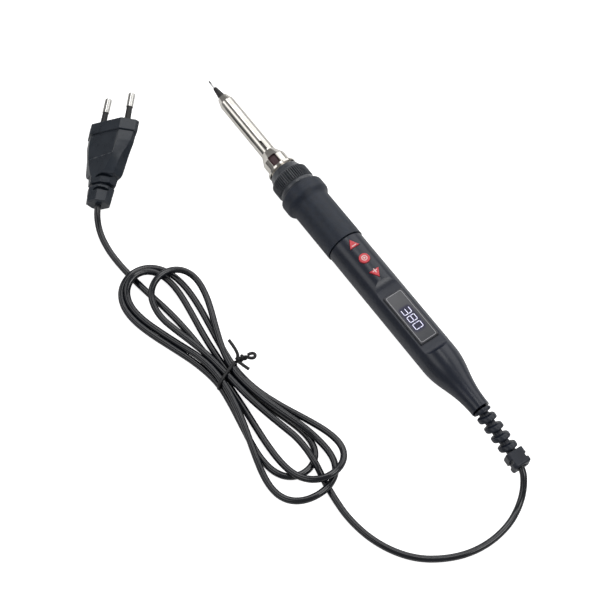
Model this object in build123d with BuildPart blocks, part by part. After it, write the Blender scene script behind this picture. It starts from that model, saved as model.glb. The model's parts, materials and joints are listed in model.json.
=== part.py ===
"""Temperature-adjustable soldering iron with a display, its mains cord tied in a hank, and its two-pin plug.

Frame: the iron lies along X with its tip at -X and its cord at +X, buttons and display facing +Z.
The origin is on the floor, under the middle of the iron. All sizes are in millimetres.
"""
import os
from math import asin, cos, pi, radians, sin, sqrt, tan

from build123d import *

os.makedirs("parts", exist_ok=True)

# ------------------------------------------------------------------ lengths along the iron
needle_length = 6.0
cone_length = 8.2
mouth_chamfer_length = 4.3
barrel_straight_length = 41.5
flare_length = 6.2
bell_length = 6.4
bead_length = 1.6
nut_length = 16.0
grip_length = 42.1
seam_gap = 0.4
shell_body_length = 82.5
tail_length = 35.0
relief_length = 36.5

# ------------------------------------------------------------------ radii of the iron
needle_radius = 0.5
cone_front_radius = 1.15
cone_rear_radius = 2.3
tip_neck_radius = 2.45
tip_body_radius = 3.2
barrel_radius = 4.5
barrel_mouth_radius = 3.2
bell_radius = 7.4
bead_radius = 8.6
nut_front_radius = 9.0
nut_root_radius = 10.5
nut_rib_radius = 11.3
nut_rim_radius = 10.9
flange_radius = 13.15
grip_radius = 11.1
shell_radius = 10.6
tail_end_radius = 5.3

# ------------------------------------------------------------------ walls and clearances
body_gap = 0.3            # between pieces on different moving bodies
slide_gap = 0.08          # a close sliding fit, on the radius
seat_gap = 0.05           # between pieces that are pushed together
barrel_wall = 0.5
shell_wall = 1.9
flat_wall = 1.8           # of the shell under the display's flat
corner_fillet = 0.4

# ------------------------------------------------------------------ tip, heater, barrel and nut
tip_length = 43.0
tip_bore_radius = 2.08
tip_bore_end_wall = 1.6
needle_point_length = 0.6
tip_shoulder_setback = 3.0  # of the tip's shoulder from the barrel's mouth
tip_bevel = 0.8
heater_end_gap = 0.6
heater_length = 61.0
collar_nose_radius = 2.9
collar_nose_length = 3.5
collar_radius = 5.6
collar_spigot_radius = 5.1
collar_spigot_length = 8.0
collar_advance = 1.0      # of the collar's face ahead of the bell
window_count = 4
window_width = 4.8
window_length = 7.4
window_angle = 109.0      # of the first window, from +Y towards +Z
slot_count = 2
slot_width = 1.4
slot_length = 6.8
slot_angle = 101.0
slot_to_flare = 0.6
barrel_flange_radius = 8.2
barrel_flange_thickness = 1.0
nut_lip_length = 2.4
nut_cone_length = 5.0
nut_rib_length = 8.6
nut_cone_bevel = 1.0
nut_cone_rise = 0.5
rib_count = 54
rib_fraction = 0.5        # share of the rib pitch that is rib
thread_pitch = 1.5
thread_crest_radius = 8.0
thread_depth = 0.6
thread_lead_in = 0.4
thread_run_out = 1.0
thread_flank = 0.6        # length of one flank along the axis
core_shoulder_length = 1.5
core_shoulder_radius = 9.3
core_spigot_length = 10.0
core_flange_radius = 8.5
core_flange_thickness = 2.0
core_flange_setback = 3.0
core_bore_radius = 5.15
core_channel_radius = 3.6
lead_radius = 0.55
lead_ring_radius = 2.2
lead_count = 4
lead_pitch = 1.4
lead_first_angle = 135.0
lead_straight = 6.0       # straight run of a lead before the board
lead_bend_radius = 6.0

# ------------------------------------------------------------------ grip and shells
spigot_radius = 9.6
spigot_bore_radius = 7.6
grip_flange_length = 9.0
grip_flange_fall = 3.3
grip_front_round = 2.2
recess_height = 8.0       # of the flat that carries the display, above the axis
recess_start = 39.0       # of the flat's front end from the shell's front edge
flat_end_setback = 5.0    # of the flat's rear end from the start of the tail
front_ramp_length = 7.5   # of the hollow ramp from the crown down to the flat
rear_ramp_length = 4.2
tail_front_pull = 13.0    # handles of the tail's S-shaped outline
tail_rear_pull = 17.5
boss_radius = 2.6
screw_radius = 1.0
screw_head_radius = 1.75
screw_head_height = 1.2
screw_bite = 5.0
screw_socket_radius = 0.8
screw_socket_depth = 0.6
screw_seat_depth = 5.2    # of a screw head's top face, below the axis
front_screw_setback = 11.0
rear_screw_setback = 2.5  # of the rear screws from the start of the tail
screw_spread = 5.4
cut_margin = 5.0          # by which a cut reaches past the shell

# ------------------------------------------------------------------ display
window_front_gap = 2.0    # of the window's plate from the flat's front end
window_rear_gap = 3.5     # of the window's plate from the flat's rear end
window_plate_width = 11.6
window_plate_height = 1.1
window_foot_margin = 1.2
window_foot_depth = 1.6
panel_margin = 2.0        # of the panel's ends inside the plate's ends
panel_width = 8.8
panel_height = 2.4
holder_wall = 1.0
digit_height = 5.0
digit_width = 3.9
digit_pitch = 5.0
digit_stroke = 0.6
digit_thickness = 0.1
segment_gap = 0.8         # taken off each bar, so that the bars stay apart at the corners
shown_digits = "380"
digits_offset = 1.4       # of the middle digit from the window's middle, towards the cord

# ------------------------------------------------------------------ buttons and switches
button_setback = 6.2      # first button's centre from the shell's front edge
button_pitch = 10.2
button_side = 6.0         # of the triangular buttons
button_diameter = 6.0
button_proud = 0.5        # above the shell's crown
button_gap = 0.15
button_lip = 0.7
button_lip_height = 0.8
lip_clearance = 0.35      # between a button's lip and the shell's roof
button_travel = 0.4
button_stem_radius = 1.2
switch_side = 5.0
switch_height = 3.0
plunger_radius = 1.0
plunger_height = 1.3

# ------------------------------------------------------------------ board and its parts
board_top = -1.2          # height above the axis
board_thickness = 1.2
board_width = 14.6
board_end_gap = 0.5       # between the board and the rear screws' bosses
board_setback = 1.4
board_screw_inset = 2.6
board_boss_radius = 2.3
board_screw_radius = 0.8
board_screw_head_radius = 1.6
board_screw_head_height = 0.9
board_screw_bite = 3.0
blind_gap = 0.2           # below the end of a small screw
chip_size = (5.0, 4.4, 1.4)
triac_size = (6.2, 6.6, 2.3)
film_capacitor_size = (7.0, 3.0, 4.6)
can_radius = 2.5
can_setback = 3.4         # of the can's middle from the third button
chip_setback = 8.0        # of the chip from the third button
capacitor_setback = 15.0  # of the film capacitor from the window's middle
triac_setback = 4.0       # of the triac from the window's middle
can_length = 8.0
resistor_radius = 1.0
resistor_length = 4.2
resistor_pitch = 3.0
header_pins = 6
header_pitch = 2.0
header_pin_side = 0.5

# ------------------------------------------------------------------ strain relief and clamp
relief_drift = 1.7        # of the relief's free end, towards -Y
relief_sag = 2.0          # of the relief's free end, downwards
relief_core_radius = 2.6
relief_ring_radius = 4.9
relief_ring_count = 4
relief_ring_gap = 2.5
relief_ring_tilt = 26.0
relief_first_ring = 1.6   # length of the sleeve's plain start
relief_start_gap = 1.0    # between the tail and the sleeve
relief_block_length = 8.7
relief_block_width = 10.2
relief_block_height = 9.4
relief_block_corner = 2.2
relief_block_round = 1.2
relief_notch_width = 2.0
relief_notch_depth = 1.4
relief_notch_setback = 3.9  # of the notches' middle from the free end
relief_core_overlap = 1.0
relief_flange_radius = 4.3
relief_flange_thickness = 2.0
relief_flange_inset = 8.0
relief_inner_margin = 1.0 # of the sleeve ahead of its flange
bend_radius = 20.0        # of the cord where the relief leans away from the tail
mouth_depth = 7.5
mouth_radius = 3.6
clamp_length = 5.0
clamp_width = 10.0
clamp_height = 2.0
clamp_setback = 27.5      # of the clamp's middle from the tail's end
clamp_screw_spread = 3.6
clamp_corner = 1.0
clamp_screw_sink = 0.6
clamp_screw_head_radius = 1.3
clamp_screw_bite = 2.2
clamp_screw_hole = 3.5
mains_pad_offset = 2.4    # of each mains pad from the board's middle
mains_lead_straight = 1.6
cord_end_margin = 1.0     # of the inner cord past the clamp

# ------------------------------------------------------------------ cord, hank and tie
cord_radius = 1.8
cord_lay = 0.05           # height of a lying cord's underside above the floor
route_fill = 0.45         # share of a run that an arc may take
lead_route = [(151, -6, 6.6), (156.5, -12.5, 2.4), (161.5, -23, 1.9), (163.5, -36, 1.9),
              (162, -49, 1.9), (157, -61, 1.9), (149.5, -71.5, 1.9), (139, -79.5, 1.9),
              (126, -85, 1.9), (111.5, -87.3, 1.9), (95.2, -87.1, 1.9)]
tail_route = [(-104, -99.8, 2.8), (-96, -102.2, 1.9), (-87, -103.3, 1.9),
              (-78, -103.3, 1.9), (-70, -102.6, 1.9)]
tail_first_run = 7.0      # of the tail, straight out of the plug
hank_waist_x = 13.0
hank_waist_y = -93.2
hank_waist_width = 17.6
hank_waist_height = 7.0
hank_waist_half_length = 7.0
hank_lobe_root = 1.0      # length of the waist that a lobe's outline starts from
hank_lobe_height = 10.6
left_lobe = (-50.5, -95.3, 22.0)      # centre x, centre y, radius
right_lobe = (74.0, -89.2, 22.4)
tie_wire = 1.1
tie_turn = 23.0
tie_gap = 0.3
tie_tail_radius = 0.7
tie_tails = [[(8.9, -83.5, 7.2), (8.0, -82.4, 9.0), (4.0, -82.3, 10.6), (-0.8, -82.4, 11.6)],
             [(8.9, -83.5, 6.2), (10.6, -81.6, 7.4), (13.2, -79.2, 8.2), (12.9, -76.6, 9.2)],
             [(8.9, -83.5, 5.2), (12.6, -82.9, 6.4), (17.4, -82.4, 7.6)]]

# ------------------------------------------------------------------ plug
plug_point = (-113.0, -93.8, 8.4)     # where the cord leaves the plug
plug_heading = 137.0
plug_pitch = 5.4
plug_roll = 34.0
plug_width = 35.3
plug_thickness = 13.7
plug_flat_width = 22.0
plug_side_flat = 2.4
plug_collar_length = 6.6
plug_body_length = 27.2
plug_neck_blocks = (8.4, 4.0)         # lengths, from the cord's end
plug_body_step = 0.9
plug_collar_bevel = 0.5
plug_neck_width = 14.0
plug_neck_thickness = 10.6
plug_neck_core = 4.2
plug_neck_corner = 2.6
plug_root_width = 18.0    # of the tapering body where it meets the neck
plug_root_thickness = 11.6
plug_root_flat_width = 11.0
plug_root_side_flat = 7.0
plug_slot = 1.5
plug_nick_radius = 5.6    # of the core left by the nicks in the rear block's corners
plug_nick_place = 5.0
plug_nick_length = 1.2
plug_recess_depth = 0.8
plug_recess_cut = 3.0
plug_recess_width = 13.5
plug_recess_length = 17.4
plug_recess_corner = 3.0
plug_recess_place = 18.2  # of its middle from the neck
pin_radius = 2.0
pin_metal_length = 9.0
pin_sleeve_length = 10.0
pin_sleeve_base_radius = 1.85
pin_sleeve_end_radius = 1.65
pin_tip_round = 0.9
pin_base_spacing = 18.6
pin_tip_spacing = 17.5
pin_root_length = 6.0
pin_root_radius = 1.2

# ------------------------------------------------------------------ stations along X
iron_length = (needle_length + cone_length + mouth_chamfer_length + barrel_straight_length + flare_length
               + bell_length + bead_length + nut_length + body_gap + grip_length + seam_gap
               + shell_body_length + tail_length + relief_length)
axis_height = flange_radius
tip_x = -iron_length / 2
cone_x = tip_x + needle_length
mouth_x = cone_x + cone_length
barrel_x = mouth_x + mouth_chamfer_length
flare_x = barrel_x + barrel_straight_length
bell_x = flare_x + flare_length
bead_x = bell_x + bell_length
nut_x = bead_x + bead_length
nut_rear_x = nut_x + nut_length
grip_x = nut_rear_x + body_gap
grip_rear_x = grip_x + grip_length
shell_x = grip_rear_x + seam_gap
tail_x = shell_x + shell_body_length
tail_end_x = tail_x + tail_length

iron_plane = Plane(origin=(0, 0, axis_height), x_dir=(1, 0, 0), z_dir=(0, -1, 0))
iron_axis = Axis((0, 0, axis_height), (1, 0, 0))


def across(x, height=0.0):
    """Plane across the iron at x: its X is the part's +Y and its Y is +Z."""
    return Plane(origin=(x, 0, axis_height + height), x_dir=(0, 1, 0), z_dir=(1, 0, 0))


def level(height):
    """Level plane at a height above the iron's axis."""
    return Plane.XY.offset(axis_height + height)


def chord(radius, height):
    """Half the width of a circle at a height above its centre."""
    return sqrt(max(radius ** 2 - height ** 2, 0.0))


def arc_radii(points):
    """Radius for each corner of a route: as large as the shorter run beside it allows."""
    places = [Vector(*point) for point in points]
    runs = [end - start for start, end in zip(places, places[1:])]
    radii = []
    for before, after in zip(runs, runs[1:]):
        turn = before.get_angle(after)
        radii.append(route_fill * min(before.length, after.length) / tan(radians(turn) / 2))
    return radii


def save(part, name):
    """Label a finished piece and write its STEP file."""
    part.label = name
    export_step(part, f"parts/{name}.step")


# ================================================================== heated end
tip_rear_x = tip_x + tip_length
tip_shoulder_x = mouth_x + tip_shoulder_setback
tip_bore_x = tip_shoulder_x + tip_bore_end_wall

with BuildPart() as soldering_tip:
    with BuildSketch(iron_plane):
        with BuildLine():
            Polyline((tip_x, 0), (tip_x, needle_radius / 2), (tip_x + needle_point_length, needle_radius),
                     (cone_x, needle_radius), (cone_x, cone_front_radius), (mouth_x, cone_rear_radius),
                     (mouth_x + tip_bevel, tip_neck_radius), (tip_shoulder_x, tip_neck_radius),
                     (tip_shoulder_x + tip_bevel, tip_body_radius), (tip_rear_x, tip_body_radius),
                     (tip_rear_x, tip_bore_radius), (tip_bore_x, tip_bore_radius),
                     (tip_bore_x - tip_bevel, 0), (tip_x, 0))
        make_face()
    revolve(axis=iron_axis)
save(soldering_tip.part, "soldering_tip")

barrel_flange_x = nut_x + nut_lip_length + body_gap
barrel_rear_x = barrel_flange_x + barrel_flange_thickness
mouth_opening = barrel_mouth_radius - barrel_wall

with BuildPart() as barrel_tube:
    with BuildSketch(iron_plane):
        with BuildLine():
            Polyline((mouth_x, barrel_mouth_radius), (barrel_x, barrel_radius), (flare_x, barrel_radius),
                     (bell_x, bell_radius), (bead_x, bell_radius), (bead_x, bead_radius),
                     (nut_x - body_gap, bead_radius), (nut_x - body_gap, bell_radius),
                     (barrel_flange_x, bell_radius), (barrel_flange_x, barrel_flange_radius),
                     (barrel_rear_x, barrel_flange_radius), (barrel_rear_x, bell_radius - barrel_wall),
                     (bell_x + barrel_wall / 2, bell_radius - barrel_wall),
                     (flare_x + barrel_wall / 2, barrel_radius - barrel_wall),
                     (barrel_x, barrel_radius - barrel_wall), (mouth_x, mouth_opening), close=True)
        make_face()
    revolve(axis=iron_axis)
    window_middle_x = bead_x - window_length / 2
    for turn in range(window_count):
        angle = radians(window_angle + turn * 360 / window_count)
        outward = Vector(0, cos(angle), sin(angle))
        window_plane = Plane(origin=(window_middle_x, 0, axis_height), x_dir=(1, 0, 0), z_dir=outward)
        with BuildSketch(window_plane):
            RectangleRounded(window_length, window_width, corner_fillet)
        extrude(amount=bead_radius + barrel_wall, mode=Mode.SUBTRACT)
    slot_middle_x = flare_x - slot_to_flare - slot_length / 2
    for turn in range(slot_count):
        angle = radians(slot_angle + turn * 360 / slot_count)
        outward = Vector(0, cos(angle), sin(angle))
        slot_plane = Plane(origin=(slot_middle_x, 0, axis_height), x_dir=(1, 0, 0), z_dir=outward)
        with BuildSketch(slot_plane):
            SlotOverall(slot_length, slot_width)
        extrude(amount=barrel_radius + barrel_wall, mode=Mode.SUBTRACT)
save(barrel_tube.part, "barrel_tube")

nut_rib_x = nut_x + nut_cone_length
nut_rim_x = nut_rib_x + nut_rib_length
nut_recess_x = nut_x + nut_lip_length
nut_bore_x = barrel_rear_x + body_gap
nut_bore_radius = thread_crest_radius + body_gap

with BuildPart() as barrel_nut:
    with BuildSketch(iron_plane):
        with BuildLine():
            Polyline((nut_x, bell_radius + body_gap), (nut_x, nut_front_radius),
                     (nut_rib_x - nut_cone_bevel, nut_front_radius + nut_cone_rise),
                     (nut_rib_x, nut_root_radius),
                     (nut_rim_x, nut_root_radius), (nut_rim_x, nut_rim_radius),
                     (nut_rear_x, nut_rim_radius), (nut_rear_x, nut_bore_radius),
                     (nut_bore_x, nut_bore_radius), (nut_bore_x, barrel_flange_radius + body_gap),
                     (nut_recess_x, barrel_flange_radius + body_gap),
                     (nut_recess_x, bell_radius + body_gap), close=True)
        make_face()
    revolve(axis=iron_axis)
    rib_pitch = 2 * pi * nut_rib_radius / rib_count
    rib_height = nut_rib_radius - nut_root_radius
    with BuildSketch(across(nut_rib_x)):
        with PolarLocations(nut_root_radius + rib_height / 2 - 0.1, rib_count):
            Rectangle(rib_height + 0.2, rib_pitch * rib_fraction)
    extrude(amount=nut_rib_length)
save(barrel_nut.part, "barrel_nut")

core_front_x = nut_bore_x
core_shoulder_x = grip_x
spigot_x = core_shoulder_x + core_shoulder_length
core_rear_x = spigot_x + core_spigot_length
core_flange_x = spigot_x + core_flange_setback
thread_count = int((nut_rear_x - core_front_x - thread_run_out) / thread_pitch)
thread_root_radius = thread_crest_radius - thread_depth
core_body_radius = spigot_bore_radius - seat_gap

with BuildPart() as front_core:
    with BuildSketch(iron_plane):
        outline = [(core_front_x, core_bore_radius), (core_front_x, thread_root_radius)]
        for turn in range(thread_count):
            start = core_front_x + thread_lead_in + turn * thread_pitch
            outline.append((start, thread_root_radius))
            outline.append((start + thread_flank, thread_crest_radius))
            outline.append((start + 2 * thread_flank, thread_root_radius))
        outline += [(core_shoulder_x, thread_root_radius), (core_shoulder_x, core_shoulder_radius),
                    (spigot_x, core_shoulder_radius), (spigot_x, core_body_radius),
                    (core_flange_x, core_body_radius), (core_flange_x, core_flange_radius),
                    (core_flange_x + core_flange_thickness, core_flange_radius),
                    (core_flange_x + core_flange_thickness, core_body_radius),
                    (core_rear_x, core_body_radius), (core_rear_x, core_channel_radius),
                    (core_front_x + collar_spigot_length, core_channel_radius),
                    (core_front_x + collar_spigot_length, core_bore_radius)]
        with BuildLine():
            Polyline(*outline, close=True)
        make_face()
    revolve(axis=iron_axis)
save(front_core.part, "front_core")

collar_front_x = bell_x - collar_advance
collar_rear_x = core_front_x + collar_spigot_length
heater_x = tip_bore_x + heater_end_gap
heater_radius = tip_bore_radius - slide_gap
heater_rear_x = heater_x + heater_length

with BuildPart() as heater_collar:
    with BuildSketch(iron_plane):
        with BuildLine():
            Polyline((collar_front_x - collar_nose_length, heater_radius),
                     (collar_front_x - collar_nose_length, collar_nose_radius),
                     (collar_front_x, collar_nose_radius), (collar_front_x, collar_radius),
                     (core_front_x, collar_radius), (core_front_x, collar_spigot_radius),
                     (collar_rear_x, collar_spigot_radius), (collar_rear_x, 0), (heater_rear_x, 0),
                     (heater_rear_x, heater_radius), close=True)
        make_face()
    revolve(axis=iron_axis)
save(heater_collar.part, "heater_collar")

with BuildPart() as heater_rod:
    with BuildSketch(across(heater_x)):
        Circle(heater_radius)
    extrude(amount=heater_length)
    fillet(heater_rod.faces().sort_by(Axis.X)[0].edges(), radius=corner_fillet)
save(heater_rod.part, "heater_rod")

board_x = shell_x + board_setback
board_middle_height = board_top - board_thickness / 2

with BuildPart() as heater_leads:
    for lead in range(lead_count):
        angle = radians(lead_first_angle + lead * 360 / lead_count)
        start = (collar_rear_x, lead_ring_radius * cos(angle), axis_height + lead_ring_radius * sin(angle))
        pad = (board_x, (lead - (lead_count - 1) / 2) * lead_pitch, axis_height + board_middle_height)
        run_out = Vector(core_rear_x, start[1], start[2])
        run_in = Vector(board_x - lead_straight, pad[1], pad[2])
        points = [start, run_out, run_in, pad]
        with BuildLine() as lead_path:
            FilletPolyline(*points, radius=[min(radius, lead_bend_radius) for radius in arc_radii(points)])
        with BuildSketch(Plane(origin=start, x_dir=(0, 1, 0), z_dir=(1, 0, 0))):
            Circle(lead_radius)
        sweep(path=lead_path.wire())
save(heater_leads.part, "heater_leads")

# ================================================================== grip
with BuildPart() as rubber_grip:
    with BuildSketch(iron_plane):
        flange_end_x = grip_x + grip_flange_length
        with BuildLine():
            front = Line((grip_x, spigot_radius + seat_gap), (grip_x, flange_radius - grip_front_round))
            nose = RadiusArc(front @ 1, (grip_x + grip_front_round, flange_radius), grip_front_round)
            rim = Line(nose @ 1, (flange_end_x - grip_front_round, flange_radius))
            fall = Bezier(rim @ 1, (flange_end_x, flange_radius), (flange_end_x, grip_radius),
                          (flange_end_x + grip_flange_fall, grip_radius))
            Polyline(fall @ 1, (grip_rear_x, grip_radius), (grip_rear_x, spigot_radius + seat_gap),
                     front @ 0)
        make_face()
    revolve(axis=iron_axis)
save(rubber_grip.part, "rubber_grip")


# ================================================================== handle shells
bore_radius = shell_radius - shell_wall
tail_bore_radius = tail_end_radius - shell_wall
flat_ceiling = recess_height - flat_wall
recess_x = shell_x + recess_start
recess_end_x = tail_x - flat_end_setback
recess_length = recess_end_x - recess_x
ramp_rise = shell_radius - recess_height
rear_screw_x = tail_x - rear_screw_setback
window_plate_length = recess_length - window_front_gap - window_rear_gap
window_x = recess_x + window_front_gap + window_plate_length / 2
panel_length = window_plate_length - 2 * panel_margin
window_foot_length = window_plate_length - 2 * window_foot_margin
window_foot_width = window_plate_width - 2 * window_foot_margin
button_places = [shell_x + button_setback + index * button_pitch for index in range(3)]
board_rear_x = rear_screw_x - boss_radius - board_end_gap
board_length = board_rear_x - board_x
board_screw_places = [(button_places[0] + button_places[1]) / 2, board_rear_x - board_screw_inset]
front_screw_x = core_rear_x + front_screw_setback
shell_screw_places = [(place, side * screw_spread)
                      for place in (front_screw_x, rear_screw_x) for side in (-1, 1)]
relief_flange_x = tail_end_x - relief_flange_inset
clamp_x = tail_end_x - clamp_setback
boss_bore_radius = screw_radius + seat_gap

# half sections of the shell's outside and inside: spigot, body and S-shaped tail
with BuildLine() as shell_curve:
    front = Polyline((spigot_x, 0), (spigot_x, spigot_radius), (shell_x, spigot_radius),
                     (shell_x, shell_radius - corner_fillet),
                     (shell_x + corner_fillet, shell_radius), (tail_x, shell_radius))
    tail = Bezier(front @ 1, (tail_x + tail_front_pull, shell_radius),
                  (tail_end_x - tail_rear_pull, tail_end_radius), (tail_end_x, tail_end_radius))
    Polyline(tail @ 1, (tail_end_x, 0), (spigot_x, 0))

groove_front = core_flange_x - seat_gap
groove_rear = core_flange_x + core_flange_thickness + seat_gap
groove_radius = core_flange_radius + seat_gap
with BuildLine() as bore_curve:
    front = Polyline((spigot_x, 0), (spigot_x, spigot_bore_radius), (groove_front, spigot_bore_radius),
                     (groove_front, groove_radius), (groove_rear, groove_radius),
                     (groove_rear, spigot_bore_radius), (shell_x, spigot_bore_radius),
                     (shell_x + shell_wall, bore_radius), (tail_x, bore_radius))
    tail = Bezier(front @ 1, (tail_x + tail_front_pull, bore_radius),
                  (tail_end_x - tail_rear_pull, tail_bore_radius), (tail_end_x, tail_bore_radius))
    Polyline(tail @ 1, (tail_end_x, 0), (spigot_x, 0))

cut_span = shell_radius + cut_margin

with BuildPart() as upper_shell:
    with BuildSketch(iron_plane):
        make_face(shell_curve.edges())
    revolve(axis=iron_axis)
    with BuildSketch(iron_plane):
        make_face(bore_curve.edges())
    revolve(axis=iron_axis, mode=Mode.SUBTRACT)
    # thicker roof under the display's flat
    with BuildSketch(across(recess_x - front_ramp_length)):
        Circle(bore_radius + shell_wall / 2)
        with Locations((0, flat_ceiling - cut_span)):
            Rectangle(2 * cut_span, 2 * cut_span, mode=Mode.SUBTRACT)
    extrude(amount=front_ramp_length + recess_length + rear_ramp_length)
    # flat for the display, with a hollow ramp at each end
    with BuildSketch(level(recess_height)):
        with Locations((recess_x, 0)):
            Rectangle(recess_length, 2 * cut_span, align=(Align.MIN, Align.CENTER))
    extrude(amount=cut_span, mode=Mode.SUBTRACT)
    for ramp_x, ramp_length in ((recess_x, front_ramp_length), (recess_end_x, rear_ramp_length)):
        ramp_radius = (ramp_length ** 2 + ramp_rise ** 2) / (2 * ramp_rise)
        with BuildSketch(iron_plane):
            with Locations((ramp_x, recess_height + ramp_radius)):
                Circle(ramp_radius)
        extrude(amount=cut_span, both=True, mode=Mode.SUBTRACT)
    # opening for the display window's foot
    with BuildSketch(level(0)):
        with Locations((window_x, 0)):
            Rectangle(window_foot_length + 2 * seat_gap, window_foot_width + 2 * seat_gap)
    extrude(amount=cut_span, mode=Mode.SUBTRACT)
    # button holes
    with BuildSketch(level(bore_radius / 2)):
        with Locations((button_places[0], 0)):
            RegularPolygon(button_side / sqrt(3) + 2 * button_gap, 3, rotation=180)
        with Locations((button_places[1], 0)):
            Circle(button_diameter / 2 + button_gap)
        with Locations((button_places[2], 0)):
            RegularPolygon(button_side / sqrt(3) + 2 * button_gap, 3)
    extrude(amount=cut_span, mode=Mode.SUBTRACT)
    # screw bosses, down to the split
    with BuildSketch(level(0)):
        with Locations(*shell_screw_places):
            Circle(boss_radius)
    extrude(until=Until.NEXT)
    with BuildSketch(across(relief_flange_x - seat_gap)):
        Circle(relief_flange_radius + seat_gap)
    extrude(amount=relief_flange_thickness + 2 * seat_gap, mode=Mode.SUBTRACT)
    with BuildSketch(level(0)):
        with Locations(*shell_screw_places):
            Circle(boss_bore_radius)
    extrude(amount=screw_bite + seat_gap, mode=Mode.SUBTRACT)
    split(bisect_by=level(0), keep=Keep.TOP)
save(upper_shell.part, "upper_shell")

with BuildPart() as lower_shell:
    with BuildSketch(iron_plane):
        make_face(shell_curve.edges())
    revolve(axis=iron_axis)
    with BuildSketch(iron_plane):
        make_face(bore_curve.edges())
    revolve(axis=iron_axis, mode=Mode.SUBTRACT)
    with BuildSketch(level(0)):
        with Locations(*shell_screw_places):
            Circle(boss_radius)
    extrude(until=Until.NEXT, dir=(0, 0, -1))
    # board bosses
    with BuildSketch(level(board_top - board_thickness)):
        with Locations(*[(place, 0) for place in board_screw_places]):
            Circle(board_boss_radius)
    extrude(until=Until.NEXT, dir=(0, 0, -1))
    # saddle under the cord, which carries the clamp
    with BuildSketch(level(0)):
        with Locations((clamp_x, 0)):
            Rectangle(clamp_length, 2 * clamp_screw_spread + 4 * board_screw_radius)
    extrude(until=Until.NEXT, dir=(0, 0, -1))
    with BuildSketch(across(clamp_x - clamp_length)):
        Circle(cord_radius + seat_gap)
    extrude(amount=2 * clamp_length, mode=Mode.SUBTRACT)
    with BuildSketch(across(relief_flange_x - seat_gap)):
        Circle(relief_flange_radius + seat_gap)
    extrude(amount=relief_flange_thickness + 2 * seat_gap, mode=Mode.SUBTRACT)
    # screw holes: shank, then the head's counterbore from below
    with BuildSketch(level(0)):
        with Locations(*shell_screw_places):
            Circle(boss_bore_radius)
    extrude(amount=-cut_span, mode=Mode.SUBTRACT)
    with BuildSketch(level(-screw_seat_depth)):
        with Locations(*shell_screw_places):
            Circle(screw_head_radius + seat_gap)
    extrude(amount=-cut_span, mode=Mode.SUBTRACT)
    with BuildSketch(level(0)):
        with Locations(*[(clamp_x, side * clamp_screw_spread) for side in (-1, 1)]):
            Circle(board_screw_radius + seat_gap)
    extrude(amount=-clamp_screw_hole, mode=Mode.SUBTRACT)
    with BuildSketch(level(board_top - board_thickness)):
        with Locations(*[(place, 0) for place in board_screw_places]):
            Circle(board_screw_radius + seat_gap)
    extrude(amount=-(board_screw_bite + blind_gap), mode=Mode.SUBTRACT)
    split(bisect_by=level(0), keep=Keep.BOTTOM)
save(lower_shell.part, "lower_shell")

with BuildPart() as shell_screws:
    with BuildSketch(level(-screw_seat_depth)):
        with Locations(*shell_screw_places):
            Circle(screw_radius)
    extrude(amount=screw_seat_depth + screw_bite)
    with BuildSketch(level(-screw_seat_depth)):
        with Locations(*shell_screw_places):
            Circle(screw_head_radius)
    extrude(amount=-screw_head_height)
    with BuildSketch(level(-screw_seat_depth - screw_head_height)):
        with Locations(*shell_screw_places):
            RegularPolygon(screw_socket_radius, 6)
    extrude(amount=screw_socket_depth, mode=Mode.SUBTRACT)
save(shell_screws.part, "shell_screws")

# ================================================================== display
window_underside = recess_height - window_foot_depth
panel_top = window_underside - seat_gap
panel_bottom = panel_top - panel_height

with BuildPart() as display_window:
    with BuildSketch(level(recess_height)):
        with Locations((window_x, 0)):
            RectangleRounded(window_plate_length, window_plate_width, corner_fillet)
    extrude(amount=window_plate_height)
    chamfer(display_window.faces().sort_by(Axis.Z)[-1].edges(), length=corner_fillet)
    with BuildSketch(level(window_underside)):
        with Locations((window_x, 0)):
            Rectangle(window_foot_length, window_foot_width)
    extrude(amount=window_foot_depth)
save(display_window.part, "display_window")

with BuildPart() as display_panel:
    with BuildSketch(level(panel_bottom)):
        with Locations((window_x, 0)):
            Rectangle(panel_length, panel_width)
    extrude(amount=panel_height - digit_thickness)
save(display_panel.part, "display_panel")

with BuildPart() as display_holder:
    with BuildSketch(level(board_top)):
        with Locations((window_x, 0)):
            Rectangle(panel_length, panel_width)
            Rectangle(panel_length - 2 * holder_wall, panel_width - 2 * holder_wall, mode=Mode.SUBTRACT)
    extrude(amount=panel_bottom - board_top)
save(display_holder.part, "display_holder")

# Seven-segment digits: each segment is a short bar with pointed ends. The digits read from tip to cord.
segment_names = {"0": "abcdef", "1": "bc", "2": "abged", "3": "abgcd", "4": "fgbc", "5": "afgcd",
                 "6": "afgedc", "7": "abc", "8": "abcdefg", "9": "abcdfg"}
bar_half = (digit_height - digit_stroke) / 4
bar_side = (digit_width - digit_stroke) / 2
segment_places = {"a": (0, 2 * bar_half, 0), "g": (0, 0, 0), "d": (0, -2 * bar_half, 0),
                  "f": (-bar_side, bar_half, 90), "b": (bar_side, bar_half, 90),
                  "e": (-bar_side, -bar_half, 90), "c": (bar_side, -bar_half, 90)}

with BuildPart() as display_digits:
    with BuildSketch(level(panel_top - digit_thickness)):
        for index, digit in enumerate(shown_digits):
            digit_x = window_x + digits_offset + (index - (len(shown_digits) - 1) / 2) * digit_pitch
            for segment in segment_names[digit]:
                shift, rise, turn = segment_places[segment]
                bar = 2 * (bar_side if turn == 0 else bar_half) - segment_gap
                with Locations(Location((digit_x + shift, rise, 0), (0, 0, turn))):
                    Rectangle(bar, digit_stroke)
    extrude(amount=digit_thickness)
save(display_digits.part, "display_digits")

# ================================================================== buttons and switches
button_top = shell_radius + button_proud
lip_top = chord(bore_radius, button_side / sqrt(3) + button_gap + button_lip) - seat_gap - lip_clearance
switch_top = board_top + switch_height
plunger_top = switch_top + plunger_height

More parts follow.
